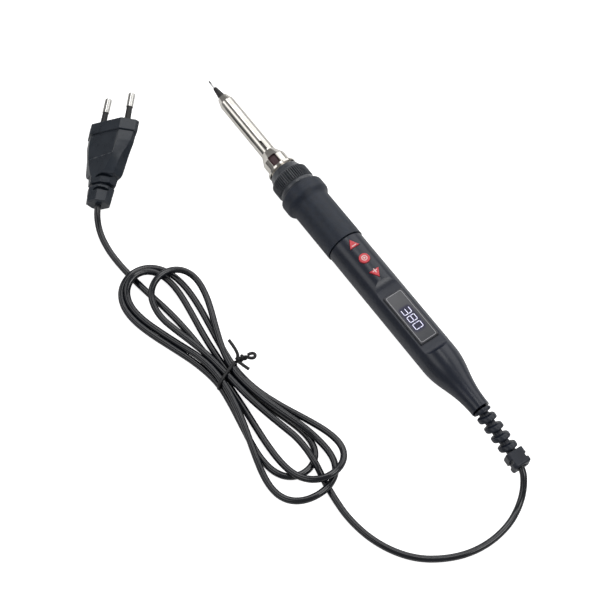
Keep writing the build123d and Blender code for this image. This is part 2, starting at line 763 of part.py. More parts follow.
for index, place in enumerate(button_places):
    button_name = ("button_minus", "button_power", "button_plus")[index]
    with BuildPart() as button:
        with BuildSketch(level(lip_top - button_lip_height)):
            with Locations((place, 0)):
                Circle(button_diameter / 2 + button_lip)
        extrude(amount=button_lip_height)
        with BuildSketch(level(lip_top)):
            with Locations((place, 0)):
                if index == 1:
                    Circle(button_diameter / 2)
                else:
                    RegularPolygon(button_side / sqrt(3), 3, rotation=180 if index == 0 else 0)
        extrude(amount=button_top - lip_top)
        fillet(button.faces().sort_by(Axis.Z)[-1].edges(), radius=corner_fillet)
        with BuildSketch(level(plunger_top)):
            with Locations((place, 0)):
                Circle(button_stem_radius)
        extrude(amount=lip_top - button_lip_height - plunger_top)
    save(button.part, button_name)

    with BuildPart() as switch:
        with BuildSketch(level(board_top)):
            with Locations((place, 0)):
                RectangleRounded(switch_side, switch_side, corner_fillet)
        extrude(amount=switch_height)
        with BuildSketch(level(switch_top)):
            with Locations((place, 0)):
                Circle(plunger_radius + slide_gap)
        extrude(amount=-(button_travel + 2 * body_gap), mode=Mode.SUBTRACT)
    save(switch.part, button_name.replace("button", "switch"))

    with BuildPart() as plunger:
        with BuildSketch(level(switch_top - body_gap)):
            with Locations((place, 0)):
                Circle(plunger_radius)
        extrude(amount=plunger_height + body_gap)
    save(plunger.part, button_name.replace("button", "plunger"))

# ================================================================== board and its parts
chip_x = button_places[2] + chip_setback
capacitor_x = window_x - capacitor_setback

with BuildPart() as control_board:
    with BuildSketch(level(board_top - board_thickness)):
        with Locations((board_x, 0)):
            Rectangle(board_length, board_width, align=(Align.MIN, Align.CENTER))
        with Locations(*[(place, 0) for place in board_screw_places]):
            Circle(board_screw_radius + seat_gap, mode=Mode.SUBTRACT)
    extrude(amount=board_thickness)
save(control_board.part, "control_board")

with BuildPart() as board_screws:
    with BuildSketch(level(board_top)):
        with Locations(*[(place, 0) for place in board_screw_places]):
            Circle(board_screw_head_radius)
    extrude(amount=board_screw_head_height)
    with BuildSketch(level(board_top)):
        with Locations(*[(place, 0) for place in board_screw_places]):
            Circle(board_screw_radius)
    extrude(amount=-(board_thickness + board_screw_bite))
save(board_screws.part, "board_screws")

with BuildPart() as controller_chip:
    with BuildSketch(level(board_top)):
        with Locations((chip_x, 0)):
            Rectangle(chip_size[0], chip_size[1])
    extrude(amount=chip_size[2])
save(controller_chip.part, "controller_chip")

board_underside = board_top - board_thickness
triac_x = window_x - triac_setback

with BuildPart() as power_triac:
    with BuildSketch(level(board_underside)):
        with Locations((triac_x, 0)):
            Rectangle(triac_size[0], triac_size[1])
    extrude(amount=-triac_size[2])
save(power_triac.part, "power_triac")

with BuildPart() as film_capacitor:
    with BuildSketch(level(board_underside)):
        with Locations((capacitor_x, 0)):
            RectangleRounded(film_capacitor_size[0], film_capacitor_size[1], corner_fillet)
    extrude(amount=-film_capacitor_size[2])
save(film_capacitor.part, "film_capacitor")

can_x = button_places[2] + can_setback
can_axis_height = board_underside - can_radius

with BuildPart() as smoothing_capacitor:
    with BuildSketch(across(can_x - can_length / 2, can_axis_height)):
        Circle(can_radius)
    extrude(amount=can_length)
save(smoothing_capacitor.part, "smoothing_capacitor")

resistor_places = [button_places[1] + index * resistor_pitch for index in range(3)]

with BuildPart() as resistors:
    for place in resistor_places:
        resistor_height = axis_height + board_underside - resistor_radius
        with BuildSketch(Plane(origin=(place, -resistor_length / 2, resistor_height),
                               x_dir=(1, 0, 0), z_dir=(0, 1, 0))):
            Circle(resistor_radius)
        extrude(amount=resistor_length)
save(resistors.part, "resistors")

with BuildPart() as display_pins:
    with BuildSketch(level(board_top)):
        with Locations((window_x, 0)):
            with GridLocations(header_pitch, 0, header_pins, 1):
                Rectangle(header_pin_side, header_pin_side)
    extrude(amount=panel_bottom - board_top)
save(display_pins.part, "display_pins")

# ================================================================== strain relief, clamp and inner cord
relief_root = Vector(tail_end_x, 0, axis_height)
relief_run = sqrt(relief_length ** 2 - relief_drift ** 2 - relief_sag ** 2)
relief_way = Vector(relief_run, -relief_drift, -relief_sag).normalized()
relief_side = Vector(0, 0, 1).cross(relief_way).normalized()
relief_up = relief_way.cross(relief_side)
relief_plane = Plane(origin=relief_root, x_dir=relief_side, z_dir=relief_way)
relief_level = Plane(origin=relief_root, x_dir=relief_way, z_dir=relief_up)
relief_end = relief_root + relief_way * relief_length
tilt_shift = tan(radians(relief_ring_tilt)) * relief_ring_radius * 1.2
relief_block_start = relief_length - relief_block_length
relief_first_middle = relief_start_gap + relief_first_ring
relief_ring_pitch = (relief_block_start - relief_ring_gap / 2 - relief_first_middle) / relief_ring_count
relief_inner_x = relief_flange_x - relief_inner_margin
relief_bore = cord_radius + seat_gap

with BuildPart() as strain_relief:
    # ribbed sleeve, cut into tilted rings
    with BuildSketch(relief_plane.offset(relief_start_gap)):
        Circle(relief_ring_radius)
    extrude(amount=relief_block_start)
    with BuildSketch(relief_plane.offset(relief_block_start - relief_ring_gap)):
        RectangleRounded(relief_block_width, relief_block_height, relief_block_corner)
    extrude(amount=relief_block_length + relief_ring_gap)
    fillet(strain_relief.faces().sort_by(Axis.X)[-1].outer_wire().edges(), radius=relief_block_round)
    with BuildSketch(relief_level):
        for index in range(relief_ring_count + 1):
            middle = relief_first_middle + index * relief_ring_pitch
            half = relief_ring_gap / 2 / cos(radians(relief_ring_tilt))
            with BuildLine():
                Polyline((middle - half - tilt_shift, -relief_ring_radius * 1.2),
                         (middle + half - tilt_shift, -relief_ring_radius * 1.2),
                         (middle + half + tilt_shift, relief_ring_radius * 1.2),
                         (middle - half + tilt_shift, relief_ring_radius * 1.2), close=True)
            make_face()
    extrude(amount=2 * relief_ring_radius, both=True, mode=Mode.SUBTRACT)
    # side notches of the end block
    with BuildSketch(relief_level):
        with Locations(*[(relief_length - relief_notch_setback, side * relief_block_width / 2)
                         for side in (-1, 1)]):
            Rectangle(relief_notch_width, 2 * relief_notch_depth)
    extrude(amount=relief_block_height, both=True, mode=Mode.SUBTRACT)
    # core through all the rings, and on into the tail
    with BuildSketch(relief_plane):
        Circle(relief_core_radius)
    extrude(amount=relief_block_start + relief_core_overlap)
    with BuildSketch(across(relief_inner_x)):
        Circle(relief_core_radius)
    extrude(amount=tail_end_x - relief_inner_x)
    with BuildSketch(across(relief_flange_x)):
        Circle(relief_flange_radius)
    extrude(amount=relief_flange_thickness)
    # bore for the cord, with a flared mouth
    with BuildSketch(relief_plane.offset(-relief_start_gap / 2)):
        Circle(relief_bore)
    extrude(amount=relief_length + relief_start_gap, mode=Mode.SUBTRACT)
    with BuildSketch(across(relief_inner_x)):
        Circle(relief_bore)
    extrude(amount=tail_end_x - relief_inner_x, mode=Mode.SUBTRACT)
    with BuildSketch(relief_plane.offset(relief_length - mouth_depth)):
        Circle(relief_bore)
    with BuildSketch(relief_plane.offset(relief_length)):
        Circle(mouth_radius)
    loft(mode=Mode.SUBTRACT)
save(strain_relief.part, "strain_relief")

cord_start = relief_root + relief_way * (relief_length - mouth_depth)
cord_inner_x = clamp_x - clamp_length / 2 - cord_end_margin

with BuildPart() as cord_inside:
    with BuildLine() as inner_path:
        FilletPolyline((cord_inner_x, 0, axis_height), relief_root, cord_start, radius=bend_radius)
    with BuildSketch(across(cord_inner_x)):
        Circle(cord_radius)
    sweep(path=inner_path.wire())
save(cord_inside.part, "cord_inside")

with BuildPart() as cable_clamp:
    with BuildSketch(level(0)):
        with Locations((clamp_x, 0)):
            RectangleRounded(clamp_length, clamp_width, clamp_corner)
    extrude(amount=cord_radius + clamp_height - clamp_screw_sink)
    with BuildSketch(across(clamp_x - clamp_length)):
        Circle(cord_radius + seat_gap)
    extrude(amount=2 * clamp_length, mode=Mode.SUBTRACT)
    with BuildSketch(level(0)):
        with Locations(*[(clamp_x, side * clamp_screw_spread) for side in (-1, 1)]):
            Circle(board_screw_radius + seat_gap)
    extrude(amount=cord_radius + clamp_height, mode=Mode.SUBTRACT)
save(cable_clamp.part, "cable_clamp")

with BuildPart() as clamp_screws:
    with BuildSketch(level(cord_radius + clamp_height - clamp_screw_sink)):
        with Locations(*[(clamp_x, side * clamp_screw_spread) for side in (-1, 1)]):
            Circle(clamp_screw_head_radius)
    extrude(amount=board_screw_head_height)
    with BuildSketch(level(cord_radius + clamp_height - clamp_screw_sink)):
        with Locations(*[(clamp_x, side * clamp_screw_spread) for side in (-1, 1)]):
            Circle(board_screw_radius)
    extrude(amount=-(cord_radius + clamp_height + clamp_screw_bite))
save(clamp_screws.part, "clamp_screws")

with BuildPart() as mains_leads:
    for side in (-1, 1):
        start = Vector(cord_inner_x, side * cord_radius / 2, axis_height)
        pad = Vector(board_rear_x, side * mains_pad_offset, axis_height + board_middle_height)
        points = [start, (start.X - mains_lead_straight, start.Y, start.Z),
                  (pad.X + mains_lead_straight, pad.Y, pad.Z), pad]
        with BuildLine() as mains_path:
            FilletPolyline(*points, radius=arc_radii(points))
        with BuildSketch(Plane(origin=start, x_dir=(0, 1, 0), z_dir=(-1, 0, 0))):
            Circle(lead_radius)
        sweep(path=mains_path.wire())
save(mains_leads.part, "mains_leads")

# ================================================================== plug
heading, pitch, roll = radians(plug_heading), radians(plug_pitch), radians(plug_roll)
plug_way = Vector(cos(heading) * cos(pitch), sin(heading) * cos(pitch), sin(pitch))
plug_level = plug_way.cross(Vector(0, 0, 1)).normalized()
plug_rise = plug_level.cross(plug_way)
plug_right = plug_level * cos(roll) + plug_rise * sin(roll)
plug_plane = Plane(origin=plug_point, x_dir=plug_right, z_dir=plug_way)
plug_neck_length = sum(plug_neck_blocks) + plug_slot * len(plug_neck_blocks)
plug_face_at = plug_neck_length + plug_body_length + plug_collar_length
pin_lean = asin((pin_base_spacing - pin_tip_spacing) / 2 / (pin_metal_length + pin_sleeve_length))
pin_planes = []
for side in (-1, 1):
    pin_base = Vector(*plug_point) + plug_way * plug_face_at + plug_right * side * pin_base_spacing / 2
    pin_way = plug_way * cos(pin_lean) - plug_right * side * sin(pin_lean)
    pin_planes.append(Plane(origin=pin_base, z_dir=pin_way))


def plug_section(width, thickness, flat_width, side_flat):
    """Points of the plug's eight-sided section, anticlockwise from its right side."""
    half_width, half_thickness = width / 2, thickness / 2
    half_flat, half_side = flat_width / 2, side_flat / 2
    quarter = [(half_width, half_side), (half_flat, half_thickness)]
    right = [(half_width, -half_side)] + quarter
    left = [(-half_flat, half_thickness), (-half_width, half_side), (-half_width, -half_side)]
    return right + left + [(-half_flat, -half_thickness), (half_flat, -half_thickness)]


with BuildPart() as plug_body:
    # collar
    with BuildSketch(plug_plane.offset(plug_face_at - plug_collar_length)):
        with BuildLine():
            Polyline(*plug_section(plug_width, plug_thickness, plug_flat_width, plug_side_flat), close=True)
        make_face()
    extrude(amount=plug_collar_length)
    chamfer(plug_body.faces().sort_by(Axis(plug_point, plug_way))[-1].edges(), length=plug_collar_bevel)
    # tapering body
    with BuildSketch(plug_plane.offset(plug_neck_length)):
        with BuildLine():
            Polyline(*plug_section(plug_root_width, plug_root_thickness, plug_root_flat_width,
                                   plug_root_side_flat), close=True)
        make_face()
    with BuildSketch(plug_plane.offset(plug_neck_length + plug_body_length)):
        with BuildLine():
            Polyline(*plug_section(plug_width - 4 * plug_body_step, plug_thickness - 2 * plug_body_step,
                                   plug_flat_width - 2 * plug_body_step, plug_side_flat), close=True)
        make_face()
    loft()
    # finger recesses on both faces
    for side in (-1, 1):
        recess_rise = plug_plane.y_dir * side * (plug_thickness / 2 - plug_body_step - plug_recess_depth)
        recess_middle = Vector(*plug_point) + plug_way * (plug_neck_length + plug_recess_place) + recess_rise
        with BuildSketch(Plane(origin=recess_middle, x_dir=plug_right, z_dir=plug_plane.y_dir * side)):
            RectangleRounded(plug_recess_width, plug_recess_length, plug_recess_corner)
        extrude(amount=plug_recess_cut, mode=Mode.SUBTRACT)
    # neck of two blocks, the rear one nicked at its corners
    block_start = 0.0
    for block_length in plug_neck_blocks:
        with BuildSketch(plug_plane.offset(block_start)):
            RectangleRounded(plug_neck_width, plug_neck_thickness, plug_neck_corner)
        extrude(amount=block_length)
        block_start += block_length + plug_slot
    with BuildSketch(plug_plane.offset(plug_nick_place)):
        Circle(plug_neck_width)
        Circle(plug_nick_radius, mode=Mode.SUBTRACT)
    extrude(amount=plug_nick_length, mode=Mode.SUBTRACT)
    with BuildSketch(plug_plane):
        Circle(plug_neck_core)
    extrude(amount=plug_neck_length)
    # seats for the pins
    for pin_plane in pin_planes:
        with BuildSketch(pin_plane.offset(-pin_root_length - seat_gap)):
            Circle(pin_root_radius + seat_gap)
        extrude(amount=pin_root_length + 4 * seat_gap, mode=Mode.SUBTRACT)
save(plug_body.part, "plug_body")

with BuildPart() as pin_sleeves:
    for pin_plane in pin_planes:
        with Locations(pin_plane.offset(2 * seat_gap)):
            Cone(pin_sleeve_base_radius, pin_sleeve_end_radius, pin_sleeve_length - 2 * seat_gap,
                 align=(Align.CENTER, Align.CENTER, Align.MIN))
        with BuildSketch(pin_plane):
            Circle(pin_root_radius + seat_gap)
        extrude(amount=pin_sleeve_length + seat_gap, mode=Mode.SUBTRACT)
save(pin_sleeves.part, "pin_sleeves")

with BuildPart() as plug_pins:
    for pin_plane in pin_planes:
        with BuildSketch(pin_plane.offset(-pin_root_length)):
            Circle(pin_root_radius)
        extrude(amount=pin_root_length + pin_sleeve_length)
        with BuildSketch(pin_plane.offset(pin_sleeve_length)):
            Circle(pin_radius)
        extrude(amount=pin_metal_length)
    tip_faces = plug_pins.faces().filter_by(lambda face: face.geom_type == GeomType.PLANE)
    tip_faces = tip_faces.sort_by(Axis(plug_point, plug_way))[-2:]
    fillet([edge for face in tip_faces for edge in face.edges()], radius=pin_tip_round)
save(plug_pins.part, "plug_pins")

# ================================================================== free cord, hank and tie
lead_points = [cord_start, (relief_end + relief_way * 0.5)] + lead_route
plug_exit = Vector(*plug_point)
tail_points = [plug_exit, (plug_exit - plug_way * tail_first_run)] + tail_route

for name, points in (("cord_lead", lead_points), ("cord_tail", tail_points)):
    direction = Vector(*points[1]) - Vector(*points[0])
    with BuildPart() as cord:
        with BuildLine() as cord_path:
            FilletPolyline(*points, radius=arc_radii(points))
        with BuildSketch(Plane(origin=points[0], z_dir=direction)):
            Circle(cord_radius)
        sweep(path=cord_path.wire())
    print(name, "length", round(cord_path.wire().length, 1))
    save(cord.part, name)

with BuildPart() as cord_hank:
    for lobe_x, lobe_y, lobe_radius in (left_lobe, right_lobe):
        with BuildSketch(Plane.XY.offset(cord_lay)):
            with Locations((lobe_x, lobe_y)):
                Circle(lobe_radius)
            side = 1 if lobe_x > hank_waist_x else -1
            with Locations((hank_waist_x + side * hank_waist_half_length, hank_waist_y)):
                Rectangle(hank_lobe_root, hank_waist_width)
            make_hull()
        extrude(amount=hank_lobe_height)
    with BuildSketch(Plane.XY.offset(tie_wire + cord_lay)):
        with Locations((hank_waist_x, hank_waist_y)):
            Rectangle(2 * hank_waist_half_length, hank_waist_width)
    extrude(amount=hank_waist_height)
save(cord_hank.part, "cord_hank")

tie_inner_width = hank_waist_width / cos(radians(tie_turn)) + 2 * tie_gap
tie_middle = (hank_waist_x, hank_waist_y, tie_wire + cord_lay + hank_waist_height / 2)
tie_across = (sin(radians(tie_turn)), -cos(radians(tie_turn)), 0)
tie_normal = (cos(radians(tie_turn)), sin(radians(tie_turn)), 0)
tie_height = hank_waist_height + 2 * seat_gap

with BuildPart() as twist_tie:
    with BuildSketch(Plane(origin=tie_middle, x_dir=tie_across, z_dir=tie_normal)):
        RectangleRounded(tie_inner_width + 2 * tie_wire, tie_height + 2 * tie_wire, tie_wire)
        Rectangle(tie_inner_width, tie_height, mode=Mode.SUBTRACT)
    extrude(amount=tie_wire / 2, both=True)
    for points in tie_tails:
        direction = Vector(*points[1]) - Vector(*points[0])
        with BuildLine() as tie_path:
            FilletPolyline(*points, radius=arc_radii(points))
        with BuildSketch(Plane(origin=points[0], z_dir=direction)):
            Circle(tie_tail_radius)
        sweep(path=tie_path.wire())
save(twist_tie.part, "twist_tie")

print("iron length", round(iron_length, 2), "axis height", axis_height)
print("cord exit", [round(value, 2) for value in relief_end])
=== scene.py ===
"""Looks of a pencil soldering iron with a display, its mains cord tied in a hank, and its slim plug.

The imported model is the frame: the iron lies along X with its tip at -X, its display faces +Z, and the
cord and plug lie beside it at -Y. Sizes in this file are in millimetres and are turned into metres
where a mesh or a curve is made.
"""
import json
import logging
from dataclasses import dataclass
from enum import Enum
from typing import Sequence

import bpy
import numpy as np
from mathutils import Matrix, Vector


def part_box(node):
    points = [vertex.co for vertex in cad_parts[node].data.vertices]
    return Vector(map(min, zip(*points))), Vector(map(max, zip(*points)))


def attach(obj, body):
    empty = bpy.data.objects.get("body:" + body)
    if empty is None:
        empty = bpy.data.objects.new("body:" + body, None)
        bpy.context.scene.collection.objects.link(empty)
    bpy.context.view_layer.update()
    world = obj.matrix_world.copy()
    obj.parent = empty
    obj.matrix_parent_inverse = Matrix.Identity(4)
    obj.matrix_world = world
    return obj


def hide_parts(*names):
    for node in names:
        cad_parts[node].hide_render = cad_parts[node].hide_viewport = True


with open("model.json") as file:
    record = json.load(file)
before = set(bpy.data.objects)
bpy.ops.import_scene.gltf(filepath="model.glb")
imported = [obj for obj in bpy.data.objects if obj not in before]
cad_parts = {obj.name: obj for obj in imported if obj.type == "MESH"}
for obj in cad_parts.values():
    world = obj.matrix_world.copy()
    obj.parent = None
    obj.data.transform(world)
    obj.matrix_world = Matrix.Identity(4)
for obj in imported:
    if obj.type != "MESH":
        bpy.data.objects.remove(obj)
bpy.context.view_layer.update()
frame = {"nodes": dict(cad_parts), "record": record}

MM = 0.001
LOG = logging.getLogger("soldering_iron")

Colour = tuple[float, float, float]


# ---------------------------------------------------------------------------------------------- helpers
@dataclass(frozen=True)
class Extent:
    """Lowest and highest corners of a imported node, in millimetres."""

    low: np.ndarray
    high: np.ndarray

    @classmethod
    def of(cls, node: str) -> "Extent":
        """Read a node's box from the frame.

        Args:
            node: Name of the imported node.

        Returns:
            The node's extent in millimetres.
        """
        low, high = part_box(node)
        return cls(np.array(low) / MM, np.array(high) / MM)

    @property
    def middle(self) -> np.ndarray:
        """Centre of the box."""
        return (self.low + self.high) / 2


def smoothstep(low: float, high: float, value: np.ndarray) -> np.ndarray:
    """Ease from 0 to 1 as 3t^2 - 2t^3, with t the value's share of the way from low to high.

    Args:
        low: Value that gives 0.
        high: Value that gives 1.
        value: Values to ease.

    Returns:
        Eased values between 0 and 1.
    """
    share = np.clip((value - low) / (high - low), 0.0, 1.0)
    return share * share * (3.0 - 2.0 * share)


def grid_faces(rows: int, columns: int, close_rows: bool, close_columns: bool) -> np.ndarray:
    """Quads of a grid of points numbered row by row, joined to the first row or column where it closes.

    Args:
        rows: Number of rows.
        columns: Number of columns.
        close_rows: Whether the last row joins the first.
        close_columns: Whether the last column joins the first.

    Returns:
        One row of four point numbers for each face.
    """
    row = np.arange(rows if close_rows else rows - 1)[:, None]
    column = np.arange(columns if close_columns else columns - 1)[None, :]
    next_row, next_column = (row + 1) % rows, (column + 1) % columns
    corners = [row * columns + column, row * columns + next_column,
               next_row * columns + next_column, next_row * columns + column]
    return np.stack([np.broadcast_to(corner, (row.size, column.size)).ravel() for corner in corners], axis=1)


def build_piece(name: str, points: np.ndarray, faces: Sequence[Sequence[int]], body: str,
                material: bpy.types.Material, smooth: bool = True) -> bpy.types.Object:
    """Make a mesh piece from points in millimetres and set it on a body.

    Args:
        name: Name of the piece.
        points: One row of x, y, z for each point.
        faces: Point numbers of each face.
        body: Body that the piece rides on.
        material: Finish of the piece.
        smooth: Whether its faces are shaded smooth.

    Returns:
        The new object.
    """
    mesh = bpy.data.meshes.new(name)
    mesh.from_pydata((points * MM).tolist(), [], [tuple(int(i) for i in face) for face in faces])
    mesh.update()
    mesh.polygons.foreach_set("use_smooth", np.full(len(mesh.polygons), smooth))
    mesh.materials.append(material)
    piece = bpy.data.objects.new(name, mesh)
    bpy.context.scene.collection.objects.link(piece)
    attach(piece, body)
    LOG.info("%s: %d faces on %s", name, len(mesh.polygons), body)
    return piece


def build_curve(name: str, points: Sequence[Sequence[float]], radius: float, body: str,
                material: bpy.types.Material, closed: bool = False) -> bpy.types.Object:
    """Make a round wire or cord on one smooth NURBS spline.

    Args:
        name: Name of the piece.
        points: Control points in millimetres.
        radius: Radius of the wire in millimetres.
        body: Body that the piece rides on.
        material: Finish of the piece.
        closed: Whether the spline returns to its start.

    Returns:
        The new curve object.
    """
    data = bpy.data.curves.new(name, "CURVE")
    data.dimensions = "3D"
    data.bevel_depth = radius * MM
    data.bevel_resolution = 6
    data.use_fill_caps = not closed
    spline = data.splines.new("NURBS")
    spline.points.add(len(points) - 1)
    places = np.ones((len(points), 4))
    places[:, :3] = np.asarray(points, dtype=float) * MM
    spline.points.foreach_set("co", places.ravel())
    spline.order_u = 3
    spline.use_endpoint_u = not closed
    spline.use_cyclic_u = closed
    spline.resolution_u = 8
    data.materials.append(material)
    piece = bpy.data.objects.new(name, data)
    bpy.context.scene.collection.objects.link(piece)
    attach(piece, body)
    LOG.info("%s: curve of %d points on %s", name, len(points), body)
    return piece


def plate(outline: np.ndarray, base: float, top: float) -> tuple[np.ndarray, list[list[int]]]:
    """Raise a flat outline, given anticlockwise from above, to a closed plate.

    Args:
        outline: One row of x, y for each corner.
        base: Height of the lower face.
        top: Height of the upper face.

    Returns:
        The plate's points and faces.
    """
    count = len(outline)
    points = np.concatenate([np.column_stack([outline, np.full(count, level)]) for level in (base, top)])
    faces = [list(range(count - 1, -1, -1)), list(range(count, 2 * count))]
    faces += [[i, (i + 1) % count, count + (i + 1) % count, count + i] for i in range(count)]
    return points, faces


def turned_points(places: np.ndarray, radii: np.ndarray, columns: int, height: float) -> np.ndarray:
    """Turn an outline round a line along X: y is the radius times cosine, z the height plus it times sine.

    Args:
        places: Place along X of each outline point.
        radii: Radius of each outline point, or of each point and column.
        columns: Number of points round the line.
        height: Height of the line.

    Returns:
        One row of x, y, z for each point, ring by ring.
    """
    angle = np.arange(columns) * 2.0 * np.pi / columns
    radius = np.broadcast_to(radii if radii.ndim == 2 else radii[:, None], (len(places), columns))
    x = np.broadcast_to(places[:, None], radius.shape)
    return np.stack([x, radius * np.cos(angle), height + radius * np.sin(angle)], axis=2).reshape(-1, 3)


def unit(way: np.ndarray) -> np.ndarray:
    """Scale a vector to length one."""
    return way / np.linalg.norm(way)


# --------------------------------------------------------------------------------------------- finishes
class Graph:
    """A node tree that is filled by short calls."""

    def __init__(self, tree: bpy.types.NodeTree) -> None:
        """Keep the tree that is being filled."""
        self.tree = tree

    def add(self, kind: str, inputs: dict | None = None, **settings: object) -> bpy.types.Node:
        """Add a node, set its properties, and set or link its inputs.

        Args:
            kind: Type name of the node.
            inputs: Value or output socket for each named or numbered input.
            **settings: Properties of the node.

        Returns:
            The new node.
        """
        node = self.tree.nodes.new(kind)
        for key, value in settings.items():
            setattr(node, key, value)
        for key, value in (inputs or {}).items():
            if isinstance(value, bpy.types.NodeSocket):
                self.tree.links.new(value, node.inputs[key])
            else:
                node.inputs[key].default_value = value
        return node

    def math(self, operation: str, first: object, second: object = 0.0,
             clamp: bool = False) -> bpy.types.NodeSocket:
        """Add a Math node and return its output."""
        return self.add("ShaderNodeMath", {0: first, 1: second}, operation=operation,
                        use_clamp=clamp).outputs[0]

    def mix(self, share: object, first: object, second: object) -> bpy.types.NodeSocket:
        """Mix two colours by a share and return the result."""
        node = self.add("ShaderNodeMix", data_type="RGBA")
        for index, value in ((0, share), (6, first), (7, second)):
            if isinstance(value, bpy.types.NodeSocket):
                self.tree.links.new(value, node.inputs[index])
            else:
                node.inputs[index].default_value = value
        return node.outputs[2]

    def span(self, value: object, low: float, high: float, to_low: float = 0.0, to_high: float = 1.0,
             smooth: bool = False) -> bpy.types.NodeSocket:
        """Map a value from one span to another, clamped, and return the result."""
        kind = "SMOOTHSTEP" if smooth else "LINEAR"
        return self.add("ShaderNodeMapRange", {0: value, 1: low, 2: high, 3: to_low, 4: to_high},
                        interpolation_type=kind).outputs[0]

    def effect(self, group: bpy.types.NodeTree, position: bpy.types.NodeSocket,
               **values: float) -> bpy.types.Node:
        """Place a shared effect, feed it a position and set its other inputs.

        Args:
            group: Shared shader group.
            position: Output that gives the place on the surface.
            **values: Value for each other named input.

        Returns:
            The group's node.
        """
        node = self.add("ShaderNodeGroup", {"Position": position}, node_tree=group)
        for name, value in values.items():
            node.inputs[name].default_value = value
        return node

    def place(self) -> bpy.types.NodeSocket:
        """Place on the object, in metres."""
        return self.add("ShaderNodeTexCoord").outputs["Object"]


def new_material(name: str) -> tuple[bpy.types.Material, Graph, bpy.types.Node]:
    """Open a node material.

    Args:
        name: Name of the material.

    Returns:
        The material, its graph and its shader.
    """
    material = bpy.data.materials.new(name)
    material.use_nodes = True
    return material, Graph(material.node_tree), material.node_tree.nodes["Principled BSDF"]


def feed(graph: Graph, shader: bpy.types.Node, inputs: dict[str, object]) -> None:
    """Link or set a shader's inputs.

    Args:
        graph: Graph that the shader is in.
        shader: Shader to feed.
        inputs: Output socket or plain value for each named input.
    """
    for name, value in inputs.items():
        if isinstance(value, bpy.types.NodeSocket):
            graph.tree.links.new(value, shader.inputs[name])
        else:
            shader.inputs[name].default_value = value


def solid(colour: Colour) -> tuple[float, float, float, float]:
    """Give a colour its full alpha."""
    return (*colour, 1.0)


